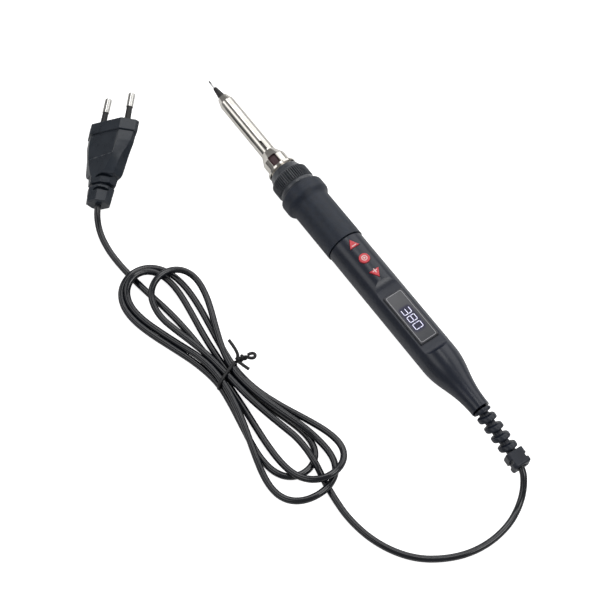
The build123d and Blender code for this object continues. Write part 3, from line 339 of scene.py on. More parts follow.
class Effects:
    """Shader node groups that more than one finish uses, each built once."""

    def __init__(self) -> None:
        """Build every group."""
        self.mottle = self._mottle()
        self.grain = self._grain()
        self.turned = self._turned()
        self.scuffs = self._scuffs()

    @staticmethod
    def _group(name: str, inputs: Sequence[tuple[str, str, float | None]],
               outputs: Sequence[tuple[str, str]]) -> tuple[Graph, bpy.types.Node, bpy.types.Node]:
        """Open a new group with named inputs and outputs."""
        tree = bpy.data.node_groups.new(name, "ShaderNodeTree")
        for label, kind, value in inputs:
            socket = tree.interface.new_socket(label, in_out="INPUT", socket_type=kind)
            if value is not None:
                socket.default_value = value
        for label, kind in outputs:
            tree.interface.new_socket(label, in_out="OUTPUT", socket_type=kind)
        graph = Graph(tree)
        return graph, graph.add("NodeGroupInput"), graph.add("NodeGroupOutput")

    def _mottle(self) -> bpy.types.NodeTree:
        """Soft uneven patches: noise of a given size, with its contrast."""
        graph, given, result = self._group(
            "mottle", [("Position", "NodeSocketVector", None), ("Scale", "NodeSocketFloat", 200.0),
                       ("Contrast", "NodeSocketFloat", 1.0)], [("Tone", "NodeSocketFloat")])
        broad = graph.add("ShaderNodeTexNoise", {"Vector": given.outputs[0], "Scale": given.outputs[1],
                                                 "Detail": 3.0,
                                                 "Roughness": 0.55}).outputs[0]
        centred = graph.math("SUBTRACT", broad, 0.5)
        stretched = graph.math("MULTIPLY", centred, given.outputs[2])
        tone = graph.math("ADD", graph.math("MULTIPLY", stretched, 2.0), 0.5, clamp=True)
        graph.tree.links.new(tone, result.inputs[0])
        return graph.tree

    def _grain(self) -> bpy.types.NodeTree:
        """Fine spark-eroded grain: cells with a little noise between them, as a height and a tone."""
        graph, given, result = self._group(
            "grain", [("Position", "NodeSocketVector", None), ("Scale", "NodeSocketFloat", 3000.0)],
            [("Height", "NodeSocketFloat"), ("Tone", "NodeSocketFloat")])
        cells = graph.add("ShaderNodeTexVoronoi", {"Vector": given.outputs[0], "Scale": given.outputs[1],
                                                   "Randomness": 1.0}).outputs[0]
        haze = graph.add("ShaderNodeTexNoise", {"Vector": given.outputs[0], "Scale": given.outputs[1],
                                                "Detail": 2.0, "Roughness": 0.6}).outputs[0]
        height = graph.math("MULTIPLY", graph.math("ADD", cells, haze), 0.5)
        graph.tree.links.new(height, result.inputs[0])
        graph.tree.links.new(graph.span(cells, 0.1, 0.8), result.inputs[1])
        return graph.tree

    def _turned(self) -> bpy.types.NodeTree:
        """Lathe marks: noise that varies quickly along the axis and slowly round it."""
        graph, given, result = self._group(
            "turned", [("Position", "NodeSocketVector", None), ("Scale", "NodeSocketFloat", 4000.0)],
            [("Height", "NodeSocketFloat"), ("Tone", "NodeSocketFloat")])
        squeezed = graph.add("ShaderNodeVectorMath", {0: given.outputs[0], 1: (1.0, 0.04, 0.04)},
                             operation="MULTIPLY").outputs[0]
        marks = graph.add("ShaderNodeTexNoise", {"Vector": squeezed, "Scale": given.outputs[1],
                                                 "Detail": 3.0, "Roughness": 0.6}).outputs[0]
        bands = graph.add("ShaderNodeTexNoise", {"Vector": squeezed, "Scale": 260.0, "Detail": 2.0,
                                                 "Roughness": 0.5}).outputs[0]
        graph.tree.links.new(marks, result.inputs[0])
        graph.tree.links.new(graph.span(bands, 0.35, 0.68), result.inputs[1])
        return graph.tree

    def _scuffs(self) -> bpy.types.NodeTree:
        """Sparse fine scratches: thin lines from stretched noise, kept to some patches."""
        graph, given, result = self._group(
            "scuffs", [("Position", "NodeSocketVector", None), ("Scale", "NodeSocketFloat", 300.0)],
            [("Mask", "NodeSocketFloat")])
        bent = graph.add("ShaderNodeTexNoise", {"Vector": given.outputs[0], "Scale": given.outputs[1],
                                                "Detail": 5.0, "Roughness": 0.7,
                                                "Distortion": 1.2}).outputs[0]
        line = graph.span(graph.math("ABSOLUTE", graph.math("SUBTRACT", bent, 0.5)), 0.0, 0.012, 1.0, 0.0)
        patch = graph.add("ShaderNodeTexNoise", {"Vector": given.outputs[0], "Scale": 90.0}).outputs[0]
        mask = graph.math("MULTIPLY", line, graph.span(patch, 0.52, 0.64))
        graph.tree.links.new(mask, result.inputs[0])
        return graph.tree


class Pattern(Enum):
    """How a finish's surface came about."""

    MOULDED = "grain"
    TURNED = "turned"


@dataclass(frozen=True)
class Finish:
    """One surface finish: two tones, grain, scuffs and gloss.

    Colours are linear. Patch and grain sizes are in millimetres. patch_share is the patches' share of
    the tone, and a scuff makes the light tone paler by scuff_gain and scuff_lift.
    """

    slot: str
    dark: Colour
    light: Colour
    roughness: tuple[float, float] = (0.4, 0.55)
    patch: float = 6.0
    contrast: float = 1.0
    grain: float = 0.35
    depth: float = 0.15
    metallic: float = 0.0
    coat: float = 0.0
    coat_roughness: float = 0.15
    specular: float = 0.5
    sheen: float = 0.0
    scuffed: float = 0.0
    scuff_gain: float = 1.8
    scuff_lift: float = 0.04
    scuff_roughness: float = 0.15
    patch_share: float = 0.7
    pattern: Pattern = Pattern.MOULDED

    def material(self, effects: Effects) -> bpy.types.Material:
        """Build the finish as a node material.

        Args:
            effects: Shared shader groups.

        Returns:
            The new material.
        """
        material, graph, shader = new_material(self.slot)
        place = graph.place()
        mottle = graph.effect(effects.mottle, place, Scale=1.0 / (self.patch * MM), Contrast=self.contrast)
        tree = effects.grain if self.pattern is Pattern.MOULDED else effects.turned
        texture = graph.effect(tree, place, Scale=1.0 / (self.grain * MM))
        tone = graph.math("ADD", graph.math("MULTIPLY", mottle.outputs["Tone"], self.patch_share),
                          graph.math("MULTIPLY", texture.outputs["Tone"], 1.0 - self.patch_share))
        colour = graph.mix(tone, solid(self.dark), solid(self.light))
        roughness = graph.span(tone, 0.0, 1.0, *self.roughness)
        if self.scuffed > 0.0:
            scuffs = graph.effect(effects.scuffs, place)
            rubbed = graph.math("MULTIPLY", scuffs.outputs["Mask"], self.scuffed)
            pale = tuple(min(1.0, channel * self.scuff_gain + self.scuff_lift) for channel in self.light)
            colour = graph.mix(rubbed, colour, solid(pale))
            roughness = graph.math("ADD", roughness, graph.math("MULTIPLY", rubbed, self.scuff_roughness))
        bump = graph.add("ShaderNodeBump", {"Height": texture.outputs["Height"], "Strength": self.depth,
                                            "Distance": self.grain * MM * 0.5})
        feed(graph, shader, {
            "Base Color": colour, "Roughness": roughness, "Normal": bump.outputs[0],
            "Metallic": self.metallic,
            "Coat Weight": self.coat, "Coat Roughness": self.coat_roughness,
            "Specular IOR Level": self.specular,
            "Sheen Weight": self.sheen})
        return material


FINISHES = (
    Finish("barrel_steel", (0.66, 0.63, 0.58), (0.86, 0.83, 0.78), (0.10, 0.20), patch=9.0, grain=0.25,
           depth=0.05, metallic=1.0, pattern=Pattern.TURNED, scuffed=0.25),
    Finish("nut_plastic", (0.035, 0.040, 0.050), (0.070, 0.076, 0.088), (0.22, 0.34), patch=3.0, grain=0.3,
           depth=0.10, coat=0.25, coat_roughness=0.3, scuffed=0.3),
    Finish("core_plastic", (0.03, 0.03, 0.032), (0.05, 0.05, 0.053), (0.45, 0.6)),
    Finish("collar_phenolic", (0.045, 0.022, 0.026), (0.12, 0.062, 0.070), (0.35, 0.5), patch=2.5),
    Finish("heater_ceramic", (0.70, 0.69, 0.66), (0.86, 0.85, 0.82), (0.6, 0.75), patch=2.0),
    Finish("lead_sleeve", (0.66, 0.65, 0.62), (0.85, 0.84, 0.80), (0.7, 0.85), grain=0.2, depth=0.5),
    Finish("grip_rubber", (0.005, 0.009, 0.019), (0.013, 0.021, 0.040), (0.42, 0.55), patch=3.5, contrast=1.4,
           grain=0.45, depth=0.22, specular=0.5, sheen=0.05, scuffed=0.25),
    Finish("shell_plastic", (0.008, 0.012, 0.023), (0.016, 0.021, 0.038), (0.26, 0.34), patch=14.0,
           grain=0.22, depth=0.05, specular=0.6, scuffed=0.10),
    Finish("screw_steel", (0.45, 0.45, 0.46), (0.6, 0.6, 0.61), (0.3, 0.45), metallic=1.0,
           pattern=Pattern.TURNED),
    Finish("panel_glass", (0.01, 0.01, 0.03), (0.02, 0.02, 0.05), (0.08, 0.15)),
    Finish("holder_plastic", (0.02, 0.02, 0.02), (0.04, 0.04, 0.04), (0.4, 0.6)),
    Finish("pin_brass", (0.60, 0.47, 0.24), (0.75, 0.62, 0.35), (0.25, 0.35), metallic=1.0),
    Finish("button_red", (0.72, 0.040, 0.060), (0.88, 0.095, 0.115), (0.26, 0.38), patch=3.0, grain=0.25,
           depth=0.08, coat=0.2, coat_roughness=0.25),
    Finish("icon_paint", (0.90, 0.55, 0.55), (0.98, 0.72, 0.72), (0.35, 0.5), patch=1.5, grain=0.15,
           depth=0.05),
    Finish("switch_black", (0.02, 0.02, 0.02), (0.04, 0.04, 0.04), (0.4, 0.6)),
    Finish("plunger_grey", (0.16, 0.16, 0.16), (0.25, 0.25, 0.25), (0.4, 0.6)),
    Finish("board_green", (0.012, 0.12, 0.05), (0.03, 0.22, 0.10), (0.25, 0.4), patch=2.0),
    Finish("chip_black", (0.02, 0.02, 0.02), (0.04, 0.04, 0.04), (0.5, 0.65)),
    Finish("capacitor_film", (0.55, 0.20, 0.04), (0.70, 0.30, 0.08), (0.2, 0.3)),
    Finish("capacitor_can", (0.22, 0.23, 0.30), (0.35, 0.36, 0.42), (0.3, 0.4), metallic=0.6),
    Finish("resistor_body", (0.45, 0.34, 0.22), (0.62, 0.50, 0.36), (0.4, 0.5)),
    Finish("relief_rubber", (0.006, 0.009, 0.017), (0.015, 0.020, 0.034), (0.30, 0.42), patch=3.0, grain=0.3,
           depth=0.12, scuffed=0.1),
    Finish("clamp_plastic", (0.03, 0.03, 0.03), (0.06, 0.06, 0.06), (0.4, 0.6)),
    Finish("lead_pvc", (0.03, 0.06, 0.22), (0.06, 0.10, 0.34), (0.3, 0.4)),
    Finish("cord_pvc", (0.003, 0.004, 0.007), (0.008, 0.010, 0.016), (0.14, 0.22), patch=8.0, contrast=1.3,
           grain=0.5, depth=0.04, specular=0.75, scuffed=0.15),
    Finish("tie_wire", (0.008, 0.008, 0.009), (0.02, 0.02, 0.022), (0.35, 0.5), patch=2.0),
    Finish("plug_pvc", (0.010, 0.015, 0.023), (0.022, 0.030, 0.043), (0.24, 0.36), patch=7.0, grain=0.3,
           depth=0.12, specular=0.5, scuffed=0.2),
    Finish("sleeve_black", (0.010, 0.010, 0.011), (0.02, 0.02, 0.022), (0.35, 0.45)),
    Finish("pin_nickel", (0.62, 0.61, 0.58), (0.78, 0.77, 0.74), (0.14, 0.24), patch=3.0, metallic=1.0,
           grain=0.2, depth=0.05, pattern=Pattern.TURNED, scuffed=0.4),
)


# ---------------------------------------------------------------------------------------------- studio
@dataclass(frozen=True)
class Panel:
    """A soft light panel: where it hangs, its size in millimetres and how bright its face is."""

    name: str
    way: tuple[float, float, float]
    distance: float
    size: tuple[float, float]
    radiance: float

    def build(self, aim: Vector) -> None:
        """Hang the panel on the line from the aim point along its way, its long side along X.

        Args:
            aim: Point that the panel faces, in metres.
        """
        data = bpy.data.lights.new(self.name, "AREA")
        data.shape = "RECTANGLE"
        data.size, data.size_y = self.size[0] * MM, self.size[1] * MM
        data.energy = self.radiance * np.pi * data.size * data.size_y
        light = bpy.data.objects.new(self.name, data)
        bpy.context.scene.collection.objects.link(light)
        way = Vector(self.way).normalized()
        across = Vector((1.0, 0.0, 0.0))
        across = (across - way * across.dot(way)).normalized()
        light.location = aim + way * self.distance * MM
        light.rotation_mode = "QUATERNION"
        light.rotation_quaternion = Matrix((across, way.cross(across), way)).transposed().to_quaternion()


@dataclass(frozen=True)
class Studio:
    """Plain pale floor, soft lights and the camera.

    Distances are in millimetres and angles in degrees.
    """

    azimuth: float = 54.82
    elevation: float = 62.0
    distance: float = 857.6
    aim: tuple[float, float, float] = (-3.6, -35.0, 0.0)
    lens: float = 95.46
    sensor: float = 36.0
    floor_half: float = 3000.0
    floor_colour: Colour = (0.93, 0.93, 0.93)
    floor_roughness: float = 0.9
    floor_lift: float = 0.95
    world_strength: float = 0.20
    panels: tuple[Panel, ...] = (
        Panel("key", (-0.38, 0.18, 0.90), 1150.0, (1300.0, 300.0), 2.3),
        Panel("window", (-0.30, 0.73, 0.55), 1300.0, (2000.0, 1000.0), 1.25),
        Panel("card", (-0.38, -0.64, 0.667), 1200.0, (1500.0, 520.0), 1.15),
        Panel("rear", (0.556, 0.27, 0.72), 1200.0, (480.0, 480.0), 3.2),
    )

    def build(self) -> None:
        """Make the camera, the floor and the lights."""
        self._camera()
        self._floor()
        self._world()
        self._lights()

    def _back(self, azimuth: float, elevation: float) -> Vector:
        """Direction from the aim point towards a viewer at an azimuth and elevation."""
        turn, lift = np.radians(azimuth), np.radians(elevation)
        return Vector((np.sin(turn) * np.cos(lift), -np.cos(turn) * np.cos(lift), np.sin(lift)))

    def _camera(self) -> None:
        """Place the camera on a straight line back from the aim point."""
        data = bpy.data.cameras.new("camera")
        data.sensor_width = self.sensor
        data.lens = self.lens
        data.clip_start, data.clip_end = 0.05, 20.0
        camera = bpy.data.objects.new("camera", data)
        bpy.context.scene.collection.objects.link(camera)
        back = self._back(self.azimuth, self.elevation)
        camera.location = Vector(self.aim) * MM + back * self.distance * MM
        camera.rotation_mode = "QUATERNION"
        camera.rotation_quaternion = (-back).to_track_quat("-Z", "Y")
        bpy.context.scene.camera = camera

    def _floor(self) -> None:
        """Lay a wide pale floor just under the object."""
        half = self.floor_half * MM
        mesh = bpy.data.meshes.new("floor")
        corners = [(-half, -half, 0.0), (half, -half, 0.0), (half, half, 0.0), (-half, half, 0.0)]
        mesh.from_pydata(corners, [], [(0, 1, 2, 3)])
        floor = bpy.data.objects.new("floor", mesh)
        bpy.context.scene.collection.objects.link(floor)
        material, graph, shader = new_material("floor")
        seen = graph.add("ShaderNodeLightPath").outputs["Is Camera Ray"]
        feed(graph, shader, {
            "Base Color": solid(self.floor_colour), "Roughness": self.floor_roughness,
            "Specular IOR Level": 0.1,
            "Emission Color": solid(self.floor_colour),
            "Emission Strength": graph.math("MULTIPLY", seen, self.floor_lift)})
        mesh.materials.append(material)

    def _world(self) -> None:
        """Light the surroundings evenly in white, and show them as pale as the floor."""
        world = bpy.data.worlds.new("world")
        bpy.context.scene.world = world
        world.use_nodes = True
        background = world.node_tree.nodes["Background"]
        background.inputs["Color"].default_value = (1.0, 1.0, 1.0, 1.0)
        graph = Graph(world.node_tree)
        seen = graph.add("ShaderNodeLightPath").outputs["Is Camera Ray"]
        strength = graph.span(seen, 0.0, 1.0, self.world_strength, 1.0)
        graph.tree.links.new(strength, background.inputs["Strength"])
        bpy.context.scene.view_settings.view_transform = "Standard"

    def _lights(self) -> None:
        """Hang the soft panels."""
        for panel in self.panels:
            panel.build(Vector(self.aim) * MM)


# ------------------------------------------------------------------------------------------ mains cord
@dataclass(frozen=True)
class Fold:
    """One loop of the hank, from the tie out to one end and back, in millimetres.

    side is +1 towards the iron's cord end and -1 towards the plug, reach is from the tie to the loop's
    far end, and lanes number the strands side by side under the tie. low and high are the loop's widest
    Y on its two runs. lift is how far its far end is raised over what it crosses, and crest how narrow
    that hump is. fullness sets how near to the tie the loop is widest. settle is the share of the reach
    where a strand comes down off the others.
    """

    side: int
    reach: float
    lane_in: int
    lane_out: int
    low: float
    high: float
    lift: float
    fullness: float = 1.8
    settle: tuple[float, float] = (0.40, 0.68)
    crest: float = 8.0


@dataclass(frozen=True)
class MainsCord:
    """The whole cord from the handle to the plug: lead, tied hank and tail, on one spline."""

    radius: float = 1.8
    tie_x: float = 13.0
    lane_start: float = -99.0
    lane_pitch: float = 1.9
    lower: float = 2.95
    upper: float = 6.0
    floor: float = 1.85
    lower_settle: tuple[float, float] = (0.08, 0.32)
    points_per_fold: int = 15
    folds: tuple[Fold, ...] = (
        Fold(1, 78.0, 2, 6, -97.5, -67.5, 7.4, crest=4.0),
        Fold(-1, 80.0, 6, 0, -116.0, -82.0, 3.7, fullness=1.6),
        Fold(1, 67.0, 0, 4, -104.5, -78.0, 0.0, fullness=1.7),
        Fold(-1, 77.0, 4, 1, -112.5, -86.5, 5.7, fullness=2.0, settle=(0.20, 0.42)),
        Fold(1, 82.0, 1, 5, -110.0, -74.0, 3.9, settle=(0.50, 0.80)),
        Fold(-1, 68.5, 5, 3, -103.0, -74.5, 7.4, fullness=1.7, settle=(0.45, 0.72), crest=4.0),
    )
    lead: tuple = ((136.0, -1.35, 11.55), (143.9, -1.7, 11.1), (151, -6, 6.6), (156.5, -12.5, 2.4),
                   (161.5, -23, 1.9), (163.5, -36, 1.9), (162, -49, 1.9), (157, -61, 1.9),
                   (149.5, -71.5, 1.9), (139, -79.5, 1.9), (126, -85, 1.9), (111.5, -87.3, 1.9),
                   (99, -86.6, 1.9), (89, -85.4, 2.0))
    leaving: tuple = ((80.5, -84.3, 5.8), (71.5, -83.6, 5.9), (62.5, -83.9, 5.2), (54.5, -85.8, 5.0),
                      (43.5, -88.6, 5.6), (29.5, -91.6, 6.2))
    entering: tuple = ((-67, -102.2, 1.85), (-53, -100, 1.85), (-36, -96.8, 1.85), (-20, -95.4, 1.9),
                       (-6, -95.2, 2.5))
    tail: tuple = ((-113, -93.8, 8.4), (-109, -97.53, 7.88), (-100, -101.8, 3.4), (-89, -103.4, 1.9),
                   (-78, -103.3, 1.9))

    def lane_height(self, lane: int) -> float:
        """Height of a lane under the tie: even lanes lie below, odd lanes on them."""
        return self.upper if lane % 2 else self.lower

    def lane_point(self, lane: int) -> np.ndarray:
        """Point where a lane passes under the tie."""
        return np.array([[self.tie_x, self.lane_start + self.lane_pitch * lane, self.lane_height(lane)]])

    def fold_points(self, fold: Fold) -> np.ndarray:
        """Work out a loop's points for an angle that runs from 0 at the tie to 180 degrees back at it.

        x is the tie plus the reach times sine. y goes from lane to lane, shifts by a smoothstep of the
        sine, and swings out on both runs by cosine times sine to the fullness. z falls from the lane's
        height to the floor and rises at the far end by sine to the crest.

        Args:
            fold: The loop.

        Returns:
            One row of x, y, z for each point.
        """
        angle = np.linspace(0.0, np.pi, self.points_per_fold + 2)[1:-1]
        sine, cosine = np.sin(angle), np.cos(angle)
        share = (1.0 - cosine) / 2.0
        start = self.lane_start + self.lane_pitch * fold.lane_in
        end = self.lane_start + self.lane_pitch * fold.lane_out
        wide_cosine = np.sqrt(1.0 / (fold.fullness + 1.0))
        wide_sine = np.sqrt(fold.fullness / (fold.fullness + 1.0))
        runs = [start + (end - start) * (1.0 + sign * wide_cosine) / 2.0 for sign in (-1.0, 1.0)]
        edges = (fold.low, fold.high) if fold.side > 0 else (fold.high, fold.low)
        offsets = [edge - run for edge, run in zip(edges, runs)]
        shift = sum(offsets) / 2.0 / (wide_sine ** 2 * (3.0 - 2.0 * wide_sine))
        swing = abs(offsets[1] - offsets[0]) / 2.0 / (wide_cosine * wide_sine ** fold.fullness)
        x = self.tie_x + fold.side * fold.reach * sine
        y = start + (end - start) * share + shift * sine ** 2 * (3.0 - 2.0 * sine)
        y = y - fold.side * swing * cosine * sine ** fold.fullness
        z = self.floor + fold.lift * sine ** fold.crest
        for lane, part in ((fold.lane_in, 1.0 - share), (fold.lane_out, share)):
            low, high = fold.settle if lane % 2 else self.lower_settle
            z = z + part * (self.lane_height(lane) - self.floor) * (1.0 - smoothstep(low, high, sine))
        return np.stack([x, y, z], axis=1)

    def control_points(self) -> np.ndarray:
        """Join the lead, the hank's loops and the tail, from the handle to the plug."""
        rows = [np.array(self.tail), np.array(self.entering), self.lane_point(self.folds[0].lane_in)]
        for fold in self.folds:
            rows += [self.fold_points(fold), self.lane_point(fold.lane_out)]
        rows += [np.array(self.leaving[::-1]), np.array(self.lead[::-1])]
        return np.concatenate(rows)[::-1]

    def build(self, material: bpy.types.Material, on_cord: Sequence[object]) -> bpy.types.Object:
        """Args:
            material: Finish of the cord.
            on_cord: Pieces and nodes that are on the cord; not used.

        Returns:
            The cord's curve object.
        """
        points = self.control_points()
        cord = build_curve("mains_cord", points, self.radius, "handle", material)
        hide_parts("cord_lead", "cord_hank", "cord_tail")
        return cord


@dataclass(frozen=True)
class TwistTie:
    """A coated wire wound once round the hank's waist and twisted shut, with three loose ends."""

    wire: float = 0.88
    turn: float = 23.0
    middle: tuple[float, float] = (13.0, -93.3)
    half_width: float = 8.3
    low: float = 0.88
    high: float = 8.5
    ring_count: int = 20
    ring_power: float = 0.6
    tails: tuple = (
        ((9.3, -84.9, 7.6), (9.2, -83.4, 8.8), (6.6, -82.7, 10.0), (3.0, -82.5, 10.8), (-0.8, -82.6, 11.3)),
        ((9.6, -84.6, 7.2), (10.4, -82.6, 8.6), (11.4, -80.4, 9.4), (13.6, -78.9, 9.3), (14.8, -77.0, 9.4),
         (13.5, -75.5, 9.7), (11.6, -76.6, 9.9), (11.6, -79.0, 10.2)),
        ((9.6, -84.8, 6.6), (12.2, -84.2, 7.6), (15.2, -83.6, 7.8), (17.8, -82.6, 7.8)),
    )
    knot_count: int = 16
    knot_turns: float = 2.2
    knot_flatness: float = 0.4
    knot_radius: float = 1.15

    def ring_points(self) -> np.ndarray:
        """Rounded-oblong ring: a superellipse in the plane across the waist, turned about Z."""
        angle = np.linspace(0.0, 2.0 * np.pi, self.ring_count, endpoint=False)
        cosine, sine = np.cos(angle), np.sin(angle)
        across = np.sign(cosine) * np.abs(cosine) ** self.ring_power * self.half_width
        height = np.sign(sine) * np.abs(sine) ** self.ring_power * (self.high - self.low) / 2.0
        turn = np.radians(self.turn)
        x = self.middle[0] + across * np.sin(turn)
        y = self.middle[1] - across * np.cos(turn)
        return np.stack([x, y, (self.high + self.low) / 2.0 + height], axis=1)

    def knot_points(self) -> np.ndarray:
        """Short helix where the two ends are twisted together."""
        along = np.linspace(0.0, 1.0, self.knot_count)
        angle = along * self.knot_turns * 2.0 * np.pi
        start, end = np.array(self.tails[1][0]), np.array(self.tails[1][2])
        line = start + (end - start) * along[:, None]
        cosine, sine = np.cos(angle), np.sin(angle)
        return line + np.stack([cosine, sine * self.knot_flatness, sine], axis=1) * self.knot_radius

    def build(self, material: bpy.types.Material) -> list[bpy.types.Object]:
        """Make the ring, the knot and the tails.

        Args:
            material: Finish of the wire.

        Returns:
            The tie's pieces, the ring first.
        """
        ring = build_curve("tie_ring", self.ring_points(), self.wire, "handle", material, closed=True)
        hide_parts("twist_tie")
        pieces = [ring, build_curve("tie_knot", self.knot_points(), self.wire, "handle", material)]
        for index, tail in enumerate(self.tails):
            pieces.append(build_curve(f"tie_tail_{index + 1}", tail, self.wire, "handle", material))
        return pieces


# ------------------------------------------------------------------------------------------- hot end
@dataclass(frozen=True)
class BarrelNut:
    """Ribbed ring nut: a smooth front cone, fine ribs and a plain rear rim."""

    lip_radius: float = 7.7
    front_radius: float = 8.7
    cone_radius: float = 9.9
    front_gap: float = 0.7
    root_radius: float = 10.25
    rib_radius: float = 11.3
    rim_radius: float = 10.9
    bore_radius: float = 8.3
    cone_length: float = 5.0
    rim_length: float = 2.6
    ribs: int = 54
    columns_per_rib: int = 8
    wave_middle: float = 0.45
    wave_swing: float = 0.75
    crease: float = 50.0

    def build(self, material: bpy.types.Material) -> bpy.types.Object:
        """Turn the nut's closed section round the iron's axis, with the ribs as a wave on the crest.

        Each row of the section is a place along the axis, a radius and the share of the wave added to
        it. The wave is its middle plus its swing times the cosine of the angle times the ribs, cut off
        at 0 and 1.

        Args:
            material: Finish of the nut.

        Returns:
            The nut's object.
        """
        place = Extent.of("barrel_nut")
        front, rear = place.low[0] + self.front_gap, place.high[0]
        cone_end, rib_end = front + self.cone_length - self.front_gap, rear - self.rim_length
        section = np.array([
            (front + 0.35, self.lip_radius, 0), (front, self.lip_radius + 0.35, 0),
            (front, self.front_radius - 0.5, 0), (front + 0.15, self.front_radius - 0.15, 0),
            (front + 0.5, self.front_radius, 0), (cone_end - 1.1, self.cone_radius - 0.25, 0),
            (cone_end - 0.5, self.cone_radius, 0), (cone_end - 0.1, self.root_radius - 0.1, 0.0),
            (cone_end + 0.35, self.root_radius, 0.35), (cone_end + 0.8, self.root_radius, 0.85),
            (cone_end + 1.4, self.root_radius, 1.0), ((cone_end + rib_end) / 2, self.root_radius, 1.0),
            (rib_end - 1.0, self.root_radius, 1.0), (rib_end - 0.4, self.root_radius, 0.8),
            (rib_end, self.root_radius, 0.2), (rib_end + 0.1, self.rim_radius - 0.25, 0),
            (rib_end + 0.35, self.rim_radius, 0), (rear - 0.4, self.rim_radius, 0),
            (rear - 0.1, self.rim_radius - 0.12, 0), (rear, self.rim_radius - 0.4, 0),
            (rear, self.bore_radius, 0), (rear - 3.0, self.bore_radius, 0),
            (front + 4.0, self.bore_radius, 0), (front + 2.4, self.bore_radius, 0),
            (front + 2.4, self.lip_radius, 0)])
        columns = self.ribs * self.columns_per_rib
        angle = np.arange(columns) * 2.0 * np.pi / columns
        wave = np.clip(self.wave_middle + self.wave_swing * np.cos(angle * self.ribs), 0.0, 1.0)
        places, crest, share = section.T
        radius = crest[:, None] + share[:, None] * wave * (self.rib_radius - self.root_radius)
        points = turned_points(places, radius, columns, place.middle[2])
        faces = grid_faces(len(section), columns, close_rows=True, close_columns=True)
        nut = build_piece("ribbed_nut", points, faces[:, ::-1], "nut", material)
        nut.data.set_sharp_from_angle(angle=np.radians(self.crease))
        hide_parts("barrel_nut")
        return nut


